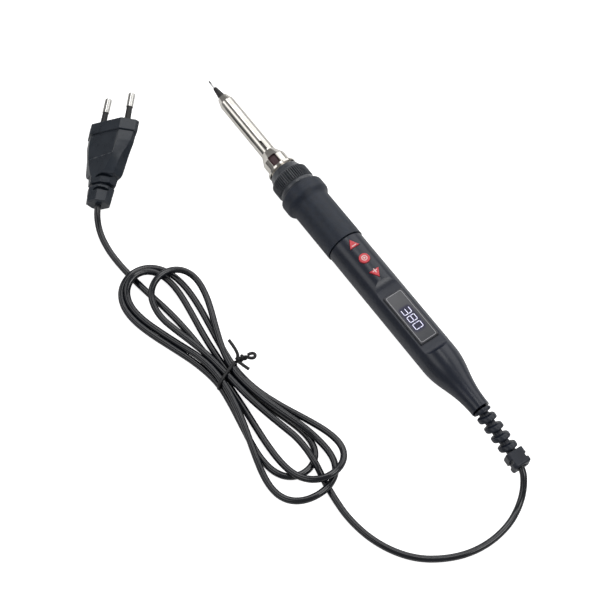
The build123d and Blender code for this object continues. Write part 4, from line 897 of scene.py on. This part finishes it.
@dataclass(frozen=True)
class StrainRelief:
    """Soft sleeve behind the handle: leaning rounded rings on a thin core, then a notched end block.

    Places are in millimetres from the handle's end. block_size is the size that stands for the block's
    full section, so a smaller size is a ring inside it.
    """

    length: float = 36.5
    drift: float = 1.7
    sag: float = 2.0
    start: float = 1.0
    first_groove: float = 2.6
    block_start: float = 27.8
    rings: int = 4
    gap: float = 2.5
    lean: float = 26.0
    core: float = 2.6
    ring_radius: float = 4.9
    bore: float = 2.0
    block_half: tuple[float, float] = (5.1, 4.7)
    block_round: float = 1.2
    block_size: float = 9.0
    block_power: int = 6
    flare: float = 1.2
    mouth: tuple[float, float] = (3.0, 2.45)
    notch_place: float = 32.6
    notch_half: float = 1.0
    notch_depth: float = 1.4
    columns: int = 96
    ring_rows: int = 19
    edge_rows: int = 5
    block_rows: int = 25
    ring_power: float = 0.55
    crease: float = 50.0

    def _profile(self) -> np.ndarray:
        """List the outline's places, radii, leans and block shares from the handle to the free end.

        A ring is half a superellipse: its place runs with cosine and its radius with sine, both raised
        to the ring power.

        Returns:
            One row of place, radius, lean share, block share for each ring of points.
        """
        groove = self.first_groove - self.gap / 2
        rows = [(self.start, self.bore, 0.0, 0.0), (self.start, self.ring_radius - 0.4, 0.0, 0.0),
                (self.start + 0.15, self.ring_radius - 0.1, 0.0, 0.0),
                (self.start + 0.4, self.ring_radius, 0.15, 0.0), (groove - 0.1, self.ring_radius, 0.9, 0.0),
                (groove + 0.1, self.ring_radius - 0.3, 1.0, 0.0), (groove + 0.15, self.core, 1.0, 0.0)]
        pitch = (self.block_start - self.gap / 2 - self.first_groove) / self.rings
        turn = np.linspace(0.0, np.pi, self.ring_rows)
        for index in range(self.rings):
            middle = self.first_groove + (index + 0.5) * pitch
            reach = np.sign(-np.cos(turn)) * np.abs(np.cos(turn)) ** self.ring_power * (pitch - self.gap) / 2
            radius = self.core + (self.ring_radius - self.core) * np.sin(turn).clip(0.0) ** self.ring_power
            rows += [(middle + step, size, 1.0, 0.0) for step, size in zip(reach, radius)]
        rows += [(self.block_start, self.core + step * self.flare, 1.0 - step, step)
                 for step in np.linspace(0.0, 1.0, self.edge_rows)]
        sine, cosine = (turned(np.linspace(0.0, np.pi / 2, self.edge_rows)) for turned in (np.sin, np.cos))
        front_round, full = self.block_round * 0.4, self.block_size
        rows += [(self.block_start + front_round * (1 - c), full - front_round + front_round * s, 0.0, 1.0)
                 for s, c in zip(sine, cosine)]
        straight = np.linspace(self.block_start + 0.6, self.length - self.block_round, self.block_rows)
        rows += [(place, full, 0.0, 1.0) for place in straight]
        rows += [(self.length - self.block_round * (1 - s), full - self.block_round * (1 - c), 0.0, 1.0)
                 for s, c in zip(sine, cosine)]
        rows += [(self.length, self.mouth[0], 0.0, 0.0), (self.length - 0.2, self.mouth[1], 0.0, 0.0),
                 (self.length - 1.2, self.bore, 0.0, 0.0)]
        return np.array(rows)

    def build(self, material: bpy.types.Material) -> bpy.types.Object:
        """Carry the outline round the sleeve's line.

        A point is the line's place plus the radius round it. A ring leans by adding the tangent of the
        lean times the point's height to its place. The block's section is a superellipse of the block
        power, pulled in by the notch's depth on both sides.

        Args:
            material: Finish of the sleeve.

        Returns:
            The sleeve's object.
        """
        profile = self._profile()
        root = np.array([Extent.of("lower_shell").high[0], 0.0, Extent.of("soldering_tip").middle[2]])
        run = np.sqrt(self.length ** 2 - self.drift ** 2 - self.sag ** 2)
        way = np.array([run, -self.drift, -self.sag]) / self.length
        side = unit(np.cross((0.0, 0.0, 1.0), way))
        rise = np.cross(way, side)
        angle = np.arange(self.columns) * 2.0 * np.pi / self.columns
        cosine, sine = np.cos(angle)[None, :], np.sin(angle)[None, :]
        place, size, lean, block = (profile[:, column][:, None] for column in range(4))
        half_width, half_height = self.block_half
        powers = (np.abs(cosine / half_width) ** self.block_power
                  + np.abs(sine / half_height) ** self.block_power)
        section = powers ** (-1 / self.block_power)
        radius = np.where(block >= 1.0, section + (size - self.block_size), size + block * (section - size))
        in_notch = (np.abs(place - self.notch_place) < self.notch_half) & (block >= 1.0)
        limit = (half_width - self.notch_depth) / np.maximum(np.abs(cosine), 0.2)
        radius = np.where(in_notch, np.minimum(radius, limit), radius)
        shift = np.tan(np.radians(self.lean)) * radius * sine * lean
        points = (root + (place + shift)[:, :, None] * way + (radius * cosine)[:, :, None] * side
                  + (radius * sine)[:, :, None] * rise)
        faces = grid_faces(len(profile), self.columns, close_rows=True, close_columns=True)
        sleeve = build_piece("ringed_sleeve", points.reshape(-1, 3), faces[:, ::-1], "handle", material)
        sleeve.data.set_sharp_from_angle(angle=np.radians(self.crease))
        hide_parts("strain_relief")
        return sleeve


@dataclass(frozen=True)
class TipFinish:
    """Dark plated cone with a bright tinned needle point, told apart by place along the iron."""

    slot: str = "tip_metal"
    tinned: Colour = (0.80, 0.80, 0.80)
    plated: Colour = (0.012, 0.012, 0.014)
    shank: Colour = (0.10, 0.095, 0.09)
    needle_end: float = 6.0
    blend: float = 0.5
    mottle_scale: float = 700.0
    grain_scale: float = 4000.0
    roughness: tuple[float, float] = (0.16, 0.38)
    metallic: tuple[float, float] = (1.0, 0.35)

    def material(self, effects: Effects, tip_start: float) -> bpy.types.Material:
        """Build the finish.

        Args:
            effects: Shared shader groups.
            tip_start: Place of the needle's point along X, in millimetres.

        Returns:
            The new material.
        """
        material, graph, shader = new_material(self.slot)
        place = graph.place()
        along = graph.add("ShaderNodeSeparateXYZ", {0: place}).outputs[0]
        edge = (tip_start + self.needle_end) * MM
        plated = graph.span(along, edge - self.blend * MM, edge, smooth=True)
        tone = graph.effect(effects.mottle, place, Scale=self.mottle_scale).outputs["Tone"]
        dull = graph.mix(graph.math("MULTIPLY", tone, 0.5), solid(self.plated), solid(self.shank))
        height = graph.effect(effects.grain, place, Scale=self.grain_scale).outputs["Height"]
        bump = graph.add("ShaderNodeBump", {"Height": height, "Strength": 0.15, "Distance": 0.1 * MM})
        feed(graph, shader, {
            "Base Color": graph.mix(plated, solid(self.tinned), dull), "Normal": bump.outputs[0],
            "Roughness": graph.span(plated, 0.0, 1.0, *self.roughness),
            "Metallic": graph.span(plated, 0.0, 1.0, *self.metallic)})
        return material


# ------------------------------------------------------------------------------------------- display
@dataclass(frozen=True)
class WindowFinish:
    """Smoked window: dark pane inside a thin pale border, with a painted blue glow round the digits.

    Sizes are in millimetres. line_fade is where the border line's edge starts and ends, as shares of
    its half width. glow_fade is where the glow's edge starts and ends, measured out from its box.
    The pane is paler towards the tip end: a painted reflection, mixed with a little mottle.
    """

    slot: str = "window_glass"
    rim: Colour = (0.05, 0.052, 0.06)
    pane: Colour = (0.075, 0.078, 0.088)
    # Lighter pane colour at the tip end: painted reflection.
    pane_reflection: Colour = (0.150, 0.152, 0.160)
    line: Colour = (0.60, 0.60, 0.63)
    # Colour of the painted glow round the digits.
    glow: Colour = (0.045, 0.045, 0.085)
    line_inset: float = 1.0
    line_half: float = 0.11
    line_fade: tuple[float, float] = (0.5, 1.3)
    edge_blend: float = 0.05
    corner: float = 0.9
    glow_half: tuple[float, float] = (7.6, 3.2)
    glow_corner: float = 1.5
    glow_fade: tuple[float, float] = (-0.6, 1.6)
    mottle_scale: float = 160.0
    reflection_share: float = 0.8
    roughness: tuple[float, float] = (0.16, 0.35)

    def material(self, effects: Effects, centre: np.ndarray, half: np.ndarray,
                 digits: np.ndarray) -> bpy.types.Material:
        """Build the finish from distances to a rounded rectangle round the window's middle.

        Args:
            effects: Shared shader groups.
            centre: Window's middle in X and Y, in millimetres.
            half: Half of the window's length and width, in millimetres.
            digits: Middle of the digits in X and Y, in millimetres.

        Returns:
            The new material.
        """
        material, graph, shader = new_material(self.slot)
        place = graph.place()
        parts = graph.add("ShaderNodeSeparateXYZ", {0: place})

        def box_distance(middle: np.ndarray, reach: Sequence[float], corner: float) -> bpy.types.NodeSocket:
            """Distance outside a rounded rectangle, negative inside it, in metres."""
            sides = []
            for axis in (0, 1):
                offset = graph.math("SUBTRACT", parts.outputs[axis], float(middle[axis]) * MM)
                sides.append(graph.math("SUBTRACT", graph.math("ABSOLUTE", offset),
                                        (float(reach[axis]) - corner) * MM))
            outer = [graph.math("MAXIMUM", side, 0.0) for side in sides]
            squares = [graph.math("POWER", side, 2.0) for side in outer]
            far = graph.math("SQRT", graph.math("ADD", *squares))
            near = graph.math("MINIMUM", graph.math("MAXIMUM", *sides), 0.0)
            return graph.math("SUBTRACT", graph.math("ADD", far, near), corner * MM)

        border = box_distance(centre, half - self.line_inset, self.corner)
        thin, thick = (share * self.line_half * MM for share in self.line_fade)
        on_line = graph.span(graph.math("ABSOLUTE", border), thin, thick, 1.0, 0.0)
        outside = graph.span(border, -self.edge_blend * MM, self.edge_blend * MM)
        # Painted glow: the digits' light spilling on the pane is painted into its colour.
        glow_box = box_distance(digits, self.glow_half, self.glow_corner)
        glow = graph.span(glow_box, self.glow_fade[0] * MM, self.glow_fade[1] * MM, 1.0, 0.0, smooth=True)
        # Painted reflection: the pane is mixed towards the lighter colour the nearer it lies to the tip end.
        reflection_fade = graph.span(parts.outputs[0], (centre[0] - half[0]) * MM, (centre[0] + half[0]) * MM, 1.0, 0.0)
        tone = graph.effect(effects.mottle, place, Scale=self.mottle_scale).outputs["Tone"]
        share = graph.math("ADD", graph.math("MULTIPLY", reflection_fade, self.reflection_share),
                           graph.math("MULTIPLY", tone, 1.0 - self.reflection_share))
        colour = graph.mix(share, solid(self.pane), solid(self.pane_reflection))
        colour = graph.mix(glow, colour, solid(self.glow))
        colour = graph.mix(outside, colour, solid(self.rim))
        colour = graph.mix(on_line, colour, solid(self.line))
        roughness = graph.span(outside, 0.0, 1.0, *self.roughness)
        feed(graph, shader, {"Base Color": colour, "Roughness": roughness})
        return material


@dataclass(frozen=True)
class Display:
    """Smoked window with lit seven-segment digits that read along the iron."""

    text: str = "380"
    height: float = 5.0
    width: float = 3.9
    pitch: float = 5.0
    stroke: float = 0.38
    gap: float = 0.10
    offset: tuple[float, float] = (1.4, -0.3)
    lift: float = 0.03
    thickness: float = 0.04
    light: Colour = (0.62, 0.60, 0.92)
    bright: Colour = (0.90, 0.92, 1.0)
    patch_scale: float = 900.0
    strength: float = 0.70

    def _digit_material(self) -> bpy.types.Material:
        """Lit segments: blue light with whiter patches."""
        material, graph, shader = new_material("digit_glow")
        place = graph.place()
        noise = graph.add("ShaderNodeTexNoise", {"Vector": place, "Scale": self.patch_scale}).outputs[0]
        colour = graph.mix(graph.span(noise, 0.3, 0.7), solid(self.light), solid(self.bright))
        feed(graph, shader, {"Base Color": colour, "Emission Color": colour,
                             "Emission Strength": self.strength, "Roughness": 0.4})
        return material

    def _segments(self) -> list[tuple[float, float, float, bool]]:
        """Middle, half length and direction of every lit bar, from the digits' middle."""
        lit = {"0": "abcdef", "1": "bc", "2": "abged", "3": "abgcd", "4": "fgbc", "5": "afgcd",
               "6": "afgedc", "7": "abc", "8": "abcdefg", "9": "abcdfg"}
        tall, wide = (self.height - self.stroke) / 2.0, (self.width - self.stroke) / 2.0
        bars = {"a": (0.0, tall, False), "g": (0.0, 0.0, False), "d": (0.0, -tall, False),
                "f": (-wide, tall / 2, True), "b": (wide, tall / 2, True),
                "e": (-wide, -tall / 2, True), "c": (wide, -tall / 2, True)}
        rows = []
        for index, digit in enumerate(self.text):
            start = (index - (len(self.text) - 1) / 2.0) * self.pitch
            for bar in lit[digit]:
                x, y, upright = bars[bar]
                rows.append((start + x, y, (tall / 2 if upright else wide) - self.gap, upright))
        return rows

    def build(self, effects: Effects) -> None:
        """Dress the window and lay the lit digits on the pane.

        Each segment is a flat bar with pointed ends: a six-sided plate of a given stroke.

        Args:
            effects: Shared shader groups.
        """
        place = Extent.of("display_window")
        half = (place.high - place.low)[:2] / 2.0
        middle = place.middle[:2] + np.array(self.offset)
        window = frame["nodes"]["display_window"]
        window.data.materials[0] = WindowFinish().material(effects, place.middle[:2], half, middle)
        base = place.high[2] + self.lift
        arm = self.stroke / 2.0
        outline = np.array([(-1, 0, 0), (-1, 1, 1), (1, 1, -1), (1, 0, 0), (1, -1, -1), (-1, -1, 1)],
                           dtype=float)
        points, faces = [], []
        for x, y, reach, upright in self._segments():
            flat = np.stack([outline[:, 0] * reach + outline[:, 2] * arm, outline[:, 1] * arm], axis=1)
            if upright:
                flat = flat[:, ::-1] * np.array([-1.0, 1.0])
            corners, sides = plate(flat + middle + np.array([x, y]), base, base + self.thickness)
            start = sum(len(rows) for rows in points)
            points.append(corners)
            faces += [[start + i for i in side] for side in sides]
        digits = build_piece("lit_digits", np.concatenate(points), faces, "handle", self._digit_material(),
                             smooth=False)
        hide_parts("display_digits")


class Icon(Enum):
    """Mark on a button."""

    MINUS = "minus"
    RING = "power"
    PLUS = "plus"


@dataclass(frozen=True)
class ButtonIcon:
    """Thin printed mark on the top of a button; on a three-sided button it sits off the box's middle."""

    icon: Icon
    size: float = 2.7
    bar: float = 0.62
    dot: float = 0.62
    shift: float = 0.85
    grow: float = 0.35
    slices: int = 40
    lift: float = 0.02
    thickness: float = 0.03

    def _outlines(self) -> list[np.ndarray]:
        """Corners of the mark round the button's middle: a bar, a plus, or a ring's slices and a dot."""
        reach, arm = self.size / 2, self.bar / 2
        if self.icon is Icon.MINUS:
            return [np.array([(-arm, -reach), (arm, -reach), (arm, reach), (-arm, reach)])]
        if self.icon is Icon.PLUS:
            quarter = np.array([(reach, -arm), (reach, arm), (arm, arm)])
            turns = [np.array([(0, -1), (1, 0)]), np.array([(-1, 0), (0, -1)]), np.array([(0, 1), (-1, 0)])]
            return [np.concatenate([quarter] + [quarter @ turn.T for turn in turns])]
        angle = np.linspace(0.0, 2.0 * np.pi, self.slices + 1)
        circle = np.stack([np.cos(angle), np.sin(angle)], axis=1)
        outer, inner = circle * (reach + self.grow), circle * (reach - self.bar + self.grow)
        slices = [np.array([inner[i], outer[i], outer[i + 1], inner[i + 1]]) for i in range(self.slices)]
        return slices + [circle[:-1] * self.dot]

    def build(self, material: bpy.types.Material) -> bpy.types.Object:
        """Lay the mark on its button.

        Args:
            material: Finish of the mark.

        Returns:
            The mark's object.
        """
        body = f"button_{self.icon.value}"
        place = Extent.of(body)
        shift = {Icon.MINUS: self.shift, Icon.RING: 0.0, Icon.PLUS: -self.shift}[self.icon]
        middle = place.middle[:2] + np.array([shift, 0.0])
        base = place.high[2] + self.lift
        points, faces = [], []
        for outline in self._outlines():
            corners, sides = plate(outline + middle, base, base + self.thickness)
            start = sum(len(rows) for rows in points)
            points.append(corners)
            faces += [[start + i for i in side] for side in sides]
        mark = build_piece(f"{body}_icon", np.concatenate(points), faces, body, material, smooth=False)
        return mark


@dataclass(frozen=True)
class SolderingTip:
    """Blunt bright needle on a black cone, with the shank that sits in the barrel."""

    needle_radius: tuple[float, float] = (0.62, 0.75)
    needle_length: float = 6.0
    cone_radius: tuple[float, float] = (1.15, 2.3)
    cone_length: float = 8.2
    neck_radius: float = 2.45
    shank_radius: float = 3.2
    shoulder: float = 3.0
    bevel: float = 0.8
    bore_radius: float = 2.08
    bore_wall: float = 1.6
    columns: int = 48
    crease: float = 40.0

    def build(self, material: bpy.types.Material) -> bpy.types.Object:
        """Turn the tip's outline round the iron's axis.

        Args:
            material: Finish of the tip.

        Returns:
            The tip's object.
        """
        place = Extent.of("soldering_tip")
        start, end = place.low[0], place.high[0]
        cone = start + self.needle_length
        mouth = cone + self.cone_length
        shoulder = mouth + self.shoulder
        outline = np.array([
            (start, 0.0), (start, self.needle_radius[0] - 0.12), (start + 0.15, self.needle_radius[0]),
            (cone, self.needle_radius[1]), (cone + 0.1, self.cone_radius[0]), (mouth, self.cone_radius[1]),
            (mouth + self.bevel, self.neck_radius), (shoulder, self.neck_radius),
            (shoulder + self.bevel, self.shank_radius), (end, self.shank_radius), (end, self.bore_radius),
            (shoulder + self.bore_wall, self.bore_radius), (shoulder + self.bore_wall - self.bevel, 0.0)])
        inner = outline[1:-1]
        rings = turned_points(inner[:, 0], inner[:, 1], self.columns, place.middle[2])
        poles = np.array([(outline[0, 0], 0.0, place.middle[2]), (outline[-1, 0], 0.0, place.middle[2])])
        points = np.concatenate([rings, poles])
        faces = [list(face) for face in grid_faces(len(inner), self.columns, False, True)[:, ::-1]]
        first, last, base = len(rings), len(rings) + 1, (len(inner) - 1) * self.columns
        for column in range(self.columns):
            following = (column + 1) % self.columns
            faces += [[first, column, following], [last, base + following, base + column]]
        tip = build_piece("needle_tip", points, faces, "tip", material)
        tip.data.set_sharp_from_angle(angle=np.radians(self.crease))
        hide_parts("soldering_tip")
        return tip


@dataclass(frozen=True)
class PlugBody:
    """Slim two-pin plug: waisted body, wide collar, and a neck of two notched blocks.

    A station is a place, half width, half thickness, half flat and half side. A cut is a place, the
    angle it faces, its half angle, half length and depth. The recess is its start, end and depth.
    """

    point: tuple[float, float, float] = (-113.0, -93.8, 8.4)
    heading: float = 137.0
    pitch: float = 5.4
    roll: float = 34.0
    stations: tuple = (
        (-0.9, 6.0, 4.9, 2.4, 2.0), (-0.3, 7.0, 5.9, 3.0, 2.4), (8.2, 7.7, 6.1, 3.2, 2.6),
        (8.8, 7.2, 5.8, 3.2, 2.6), (9.0, 4.7, 4.5, 2.8, 2.0), (10.3, 4.7, 4.5, 2.8, 2.0),
        (10.5, 8.0, 5.9, 3.4, 2.6), (15.3, 8.6, 6.1, 3.6, 2.8), (15.8, 10.0, 6.1, 4.4, 3.2),
        (17.4, 10.7, 6.1, 5.2, 3.4), (20.0, 11.2, 6.1, 6.4, 3.4), (24.0, 12.0, 6.1, 8.0, 3.2),
        (28.0, 13.2, 6.1, 9.2, 2.6), (32.0, 14.8, 6.1, 10.0, 2.0), (36.0, 16.2, 6.1, 10.4, 1.6),
        (41.6, 16.8, 6.1, 10.6, 1.2), (41.9, 16.6, 5.9, 10.4, 1.1), (42.2, 17.4, 6.7, 10.9, 1.2),
        (42.5, 17.65, 6.85, 11.0, 1.2), (48.8, 17.65, 6.85, 11.0, 1.2), (49.2, 17.2, 6.4, 10.7, 1.0),
    )
    cuts: tuple = ((14.3, 39.0, 40.0, 0.85, 2.8), (6.3, 39.0, 40.0, 0.85, 2.8), (3.4, -52.0, 24.0, 0.6, 2.0))
    recess: tuple[float, float, float] = (26.0, 41.4, 0.45)
    divisions: tuple[int, ...] = (4, 14, 18, 14)
    cut_rows: tuple[float, float, float] = (-1.6, 1.8, 0.15)
    recess_rows: tuple[float, float, float] = (25.0, 42.0, 0.5)
    arch_middle: float = 0.5
    recess_slant: tuple[float, float] = (0.10, 6.0)
    recess_eases: tuple[float, float] = (0.5, 0.6)
    recess_margin: float = 0.5
    crease: float = 22.0

    def axes(self) -> tuple[np.ndarray, np.ndarray, np.ndarray]:
        """Plug's way, its right side and its underside as unit vectors."""
        heading, pitch, roll = np.radians((self.heading, self.pitch, self.roll))
        way = np.array([np.cos(heading) * np.cos(pitch), np.sin(heading) * np.cos(pitch), np.sin(pitch)])
        level = unit(np.cross(way, (0.0, 0.0, 1.0)))
        right = level * np.cos(roll) + np.cross(level, way) * np.sin(roll)
        return way, right, np.cross(way, right)

    def build(self, material: bpy.types.Material) -> bpy.types.Object:
        """Loft the eight-sided sections along the plug's way, then press the cuts and recesses in.

        A section's corners are its half width, half thickness, half flat and half side, read between
        the stations in straight lines. A cut moves points inwards by its depth where their place is
        within its half length of an arch, which falls with the square of the angle from the way that
        the cut faces; each has a twin half a turn round. The recesses lower the broad faces inside
        their flats by an eased depth.

        Args:
            material: Finish of the plug.

        Returns:
            The plug's object.
        """
        table = np.array(self.stations)
        before, after, step = self.cut_rows
        extra = [np.arange(cut[0] + before, cut[0] + after, step) for cut in self.cuts]
        extra.append(np.arange(*self.recess_rows))
        places = np.unique(np.round(np.concatenate([table[:, 0], *extra]), 3))
        wide, thick, flat, side = (
            np.interp(places, table[:, 0], column)[:, None] for column in table[:, 1:].T)
        corners = [(wide, -side), (wide, side), (flat, thick), (-flat, thick), (-wide, side), (-wide, -side),
                   (-flat, -thick), (flat, -thick)]
        counts = self.divisions * 2
        across, up = [], []
        for index, count in enumerate(counts):
            here, there = corners[index], corners[(index + 1) % 8]
            share = np.arange(count)[None, :] / count
            across.append(here[0] + (there[0] - here[0]) * share)
            up.append(here[1] + (there[1] - here[1]) * share)
        u, v = np.concatenate(across, axis=1), np.concatenate(up, axis=1)
        along = np.broadcast_to(places[:, None], u.shape)
        broad = np.abs(v) >= thick - 1e-6
        around, distance = np.degrees(np.arctan2(u, -v)), np.hypot(u, v)
        for middle, facing, half_angle, half_length, depth in self.cuts:
            for half_turn in (0.0, 180.0):
                offset = (around - facing - half_turn + 180.0) % 360.0 - 180.0
                arch = np.clip(1.0 - (offset / half_angle) ** 2, 0.0, 1.0)
                inside = np.abs(along - middle - arch + self.arch_middle) < half_length * np.sqrt(arch)
                shrink = np.where(inside, 1.0 - depth / distance, 1.0)
                u, v = u * shrink, v * shrink
        start, end, depth = self.recess
        slope, level = self.recess_slant
        end_ease, side_ease = self.recess_eases
        front = start + slope * (u + level)
        pressed = smoothstep(0.0, end_ease, along - front) * smoothstep(0.0, end_ease, end - along)
        pressed = pressed * smoothstep(0.0, side_ease, flat - self.recess_margin - np.abs(u))
        v = np.where(broad, v - np.sign(v) * depth * pressed, v)
        way, right, under = self.axes()
        rows = np.array(self.point) + along[:, :, None] * way + u[:, :, None] * right + v[:, :, None] * under
        columns = u.shape[1]
        points = rows.reshape(-1, 3)
        faces = [list(face) for face in grid_faces(len(places), columns, False, True)]
        faces += [list(range(columns - 1, -1, -1)), list(range(len(points) - columns, len(points)))]
        body = build_piece("waisted_plug", points, faces, "handle", material)
        body.data.set_sharp_from_angle(angle=np.radians(self.crease))
        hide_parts("plug_body")
        return body


# ---------------------------------------------------------------------------------------------- main
def dress_nodes(materials: dict[str, bpy.types.Material]) -> None:
    """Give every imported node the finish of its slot.

    Args:
        materials: Finish for each slot.
    """
    for part in frame["record"]["subparts"]:
        node, slot = frame["nodes"][part["node"]], part["material_slot"]
        if slot in materials:
            node.data.materials[0] = materials[slot]


def main() -> None:
    """Build the studio, then every piece of the object, and report them."""
    logging.basicConfig(level=logging.INFO, format="%(message)s")
    Studio().build()
    effects = Effects()
    materials = {finish.slot: finish.material(effects) for finish in FINISHES}
    materials["tip_metal"] = TipFinish().material(effects, Extent.of("soldering_tip").low[0])
    dress_nodes(materials)
    tie = TwistTie().build(materials["tie_wire"])
    plug = [PlugBody().build(materials["plug_pvc"])] + [frame["nodes"][name] for name in ("pin_sleeves",
                                                                                          "plug_pins")]
    MainsCord().build(materials["cord_pvc"], tie + plug)
    BarrelNut().build(materials["nut_plastic"])
    StrainRelief().build(materials["relief_rubber"])
    SolderingTip().build(materials["tip_metal"])
    for icon in Icon:
        ButtonIcon(icon).build(materials["icon_paint"])
    Display().build(effects)


if __name__ == "__main__":
    main()
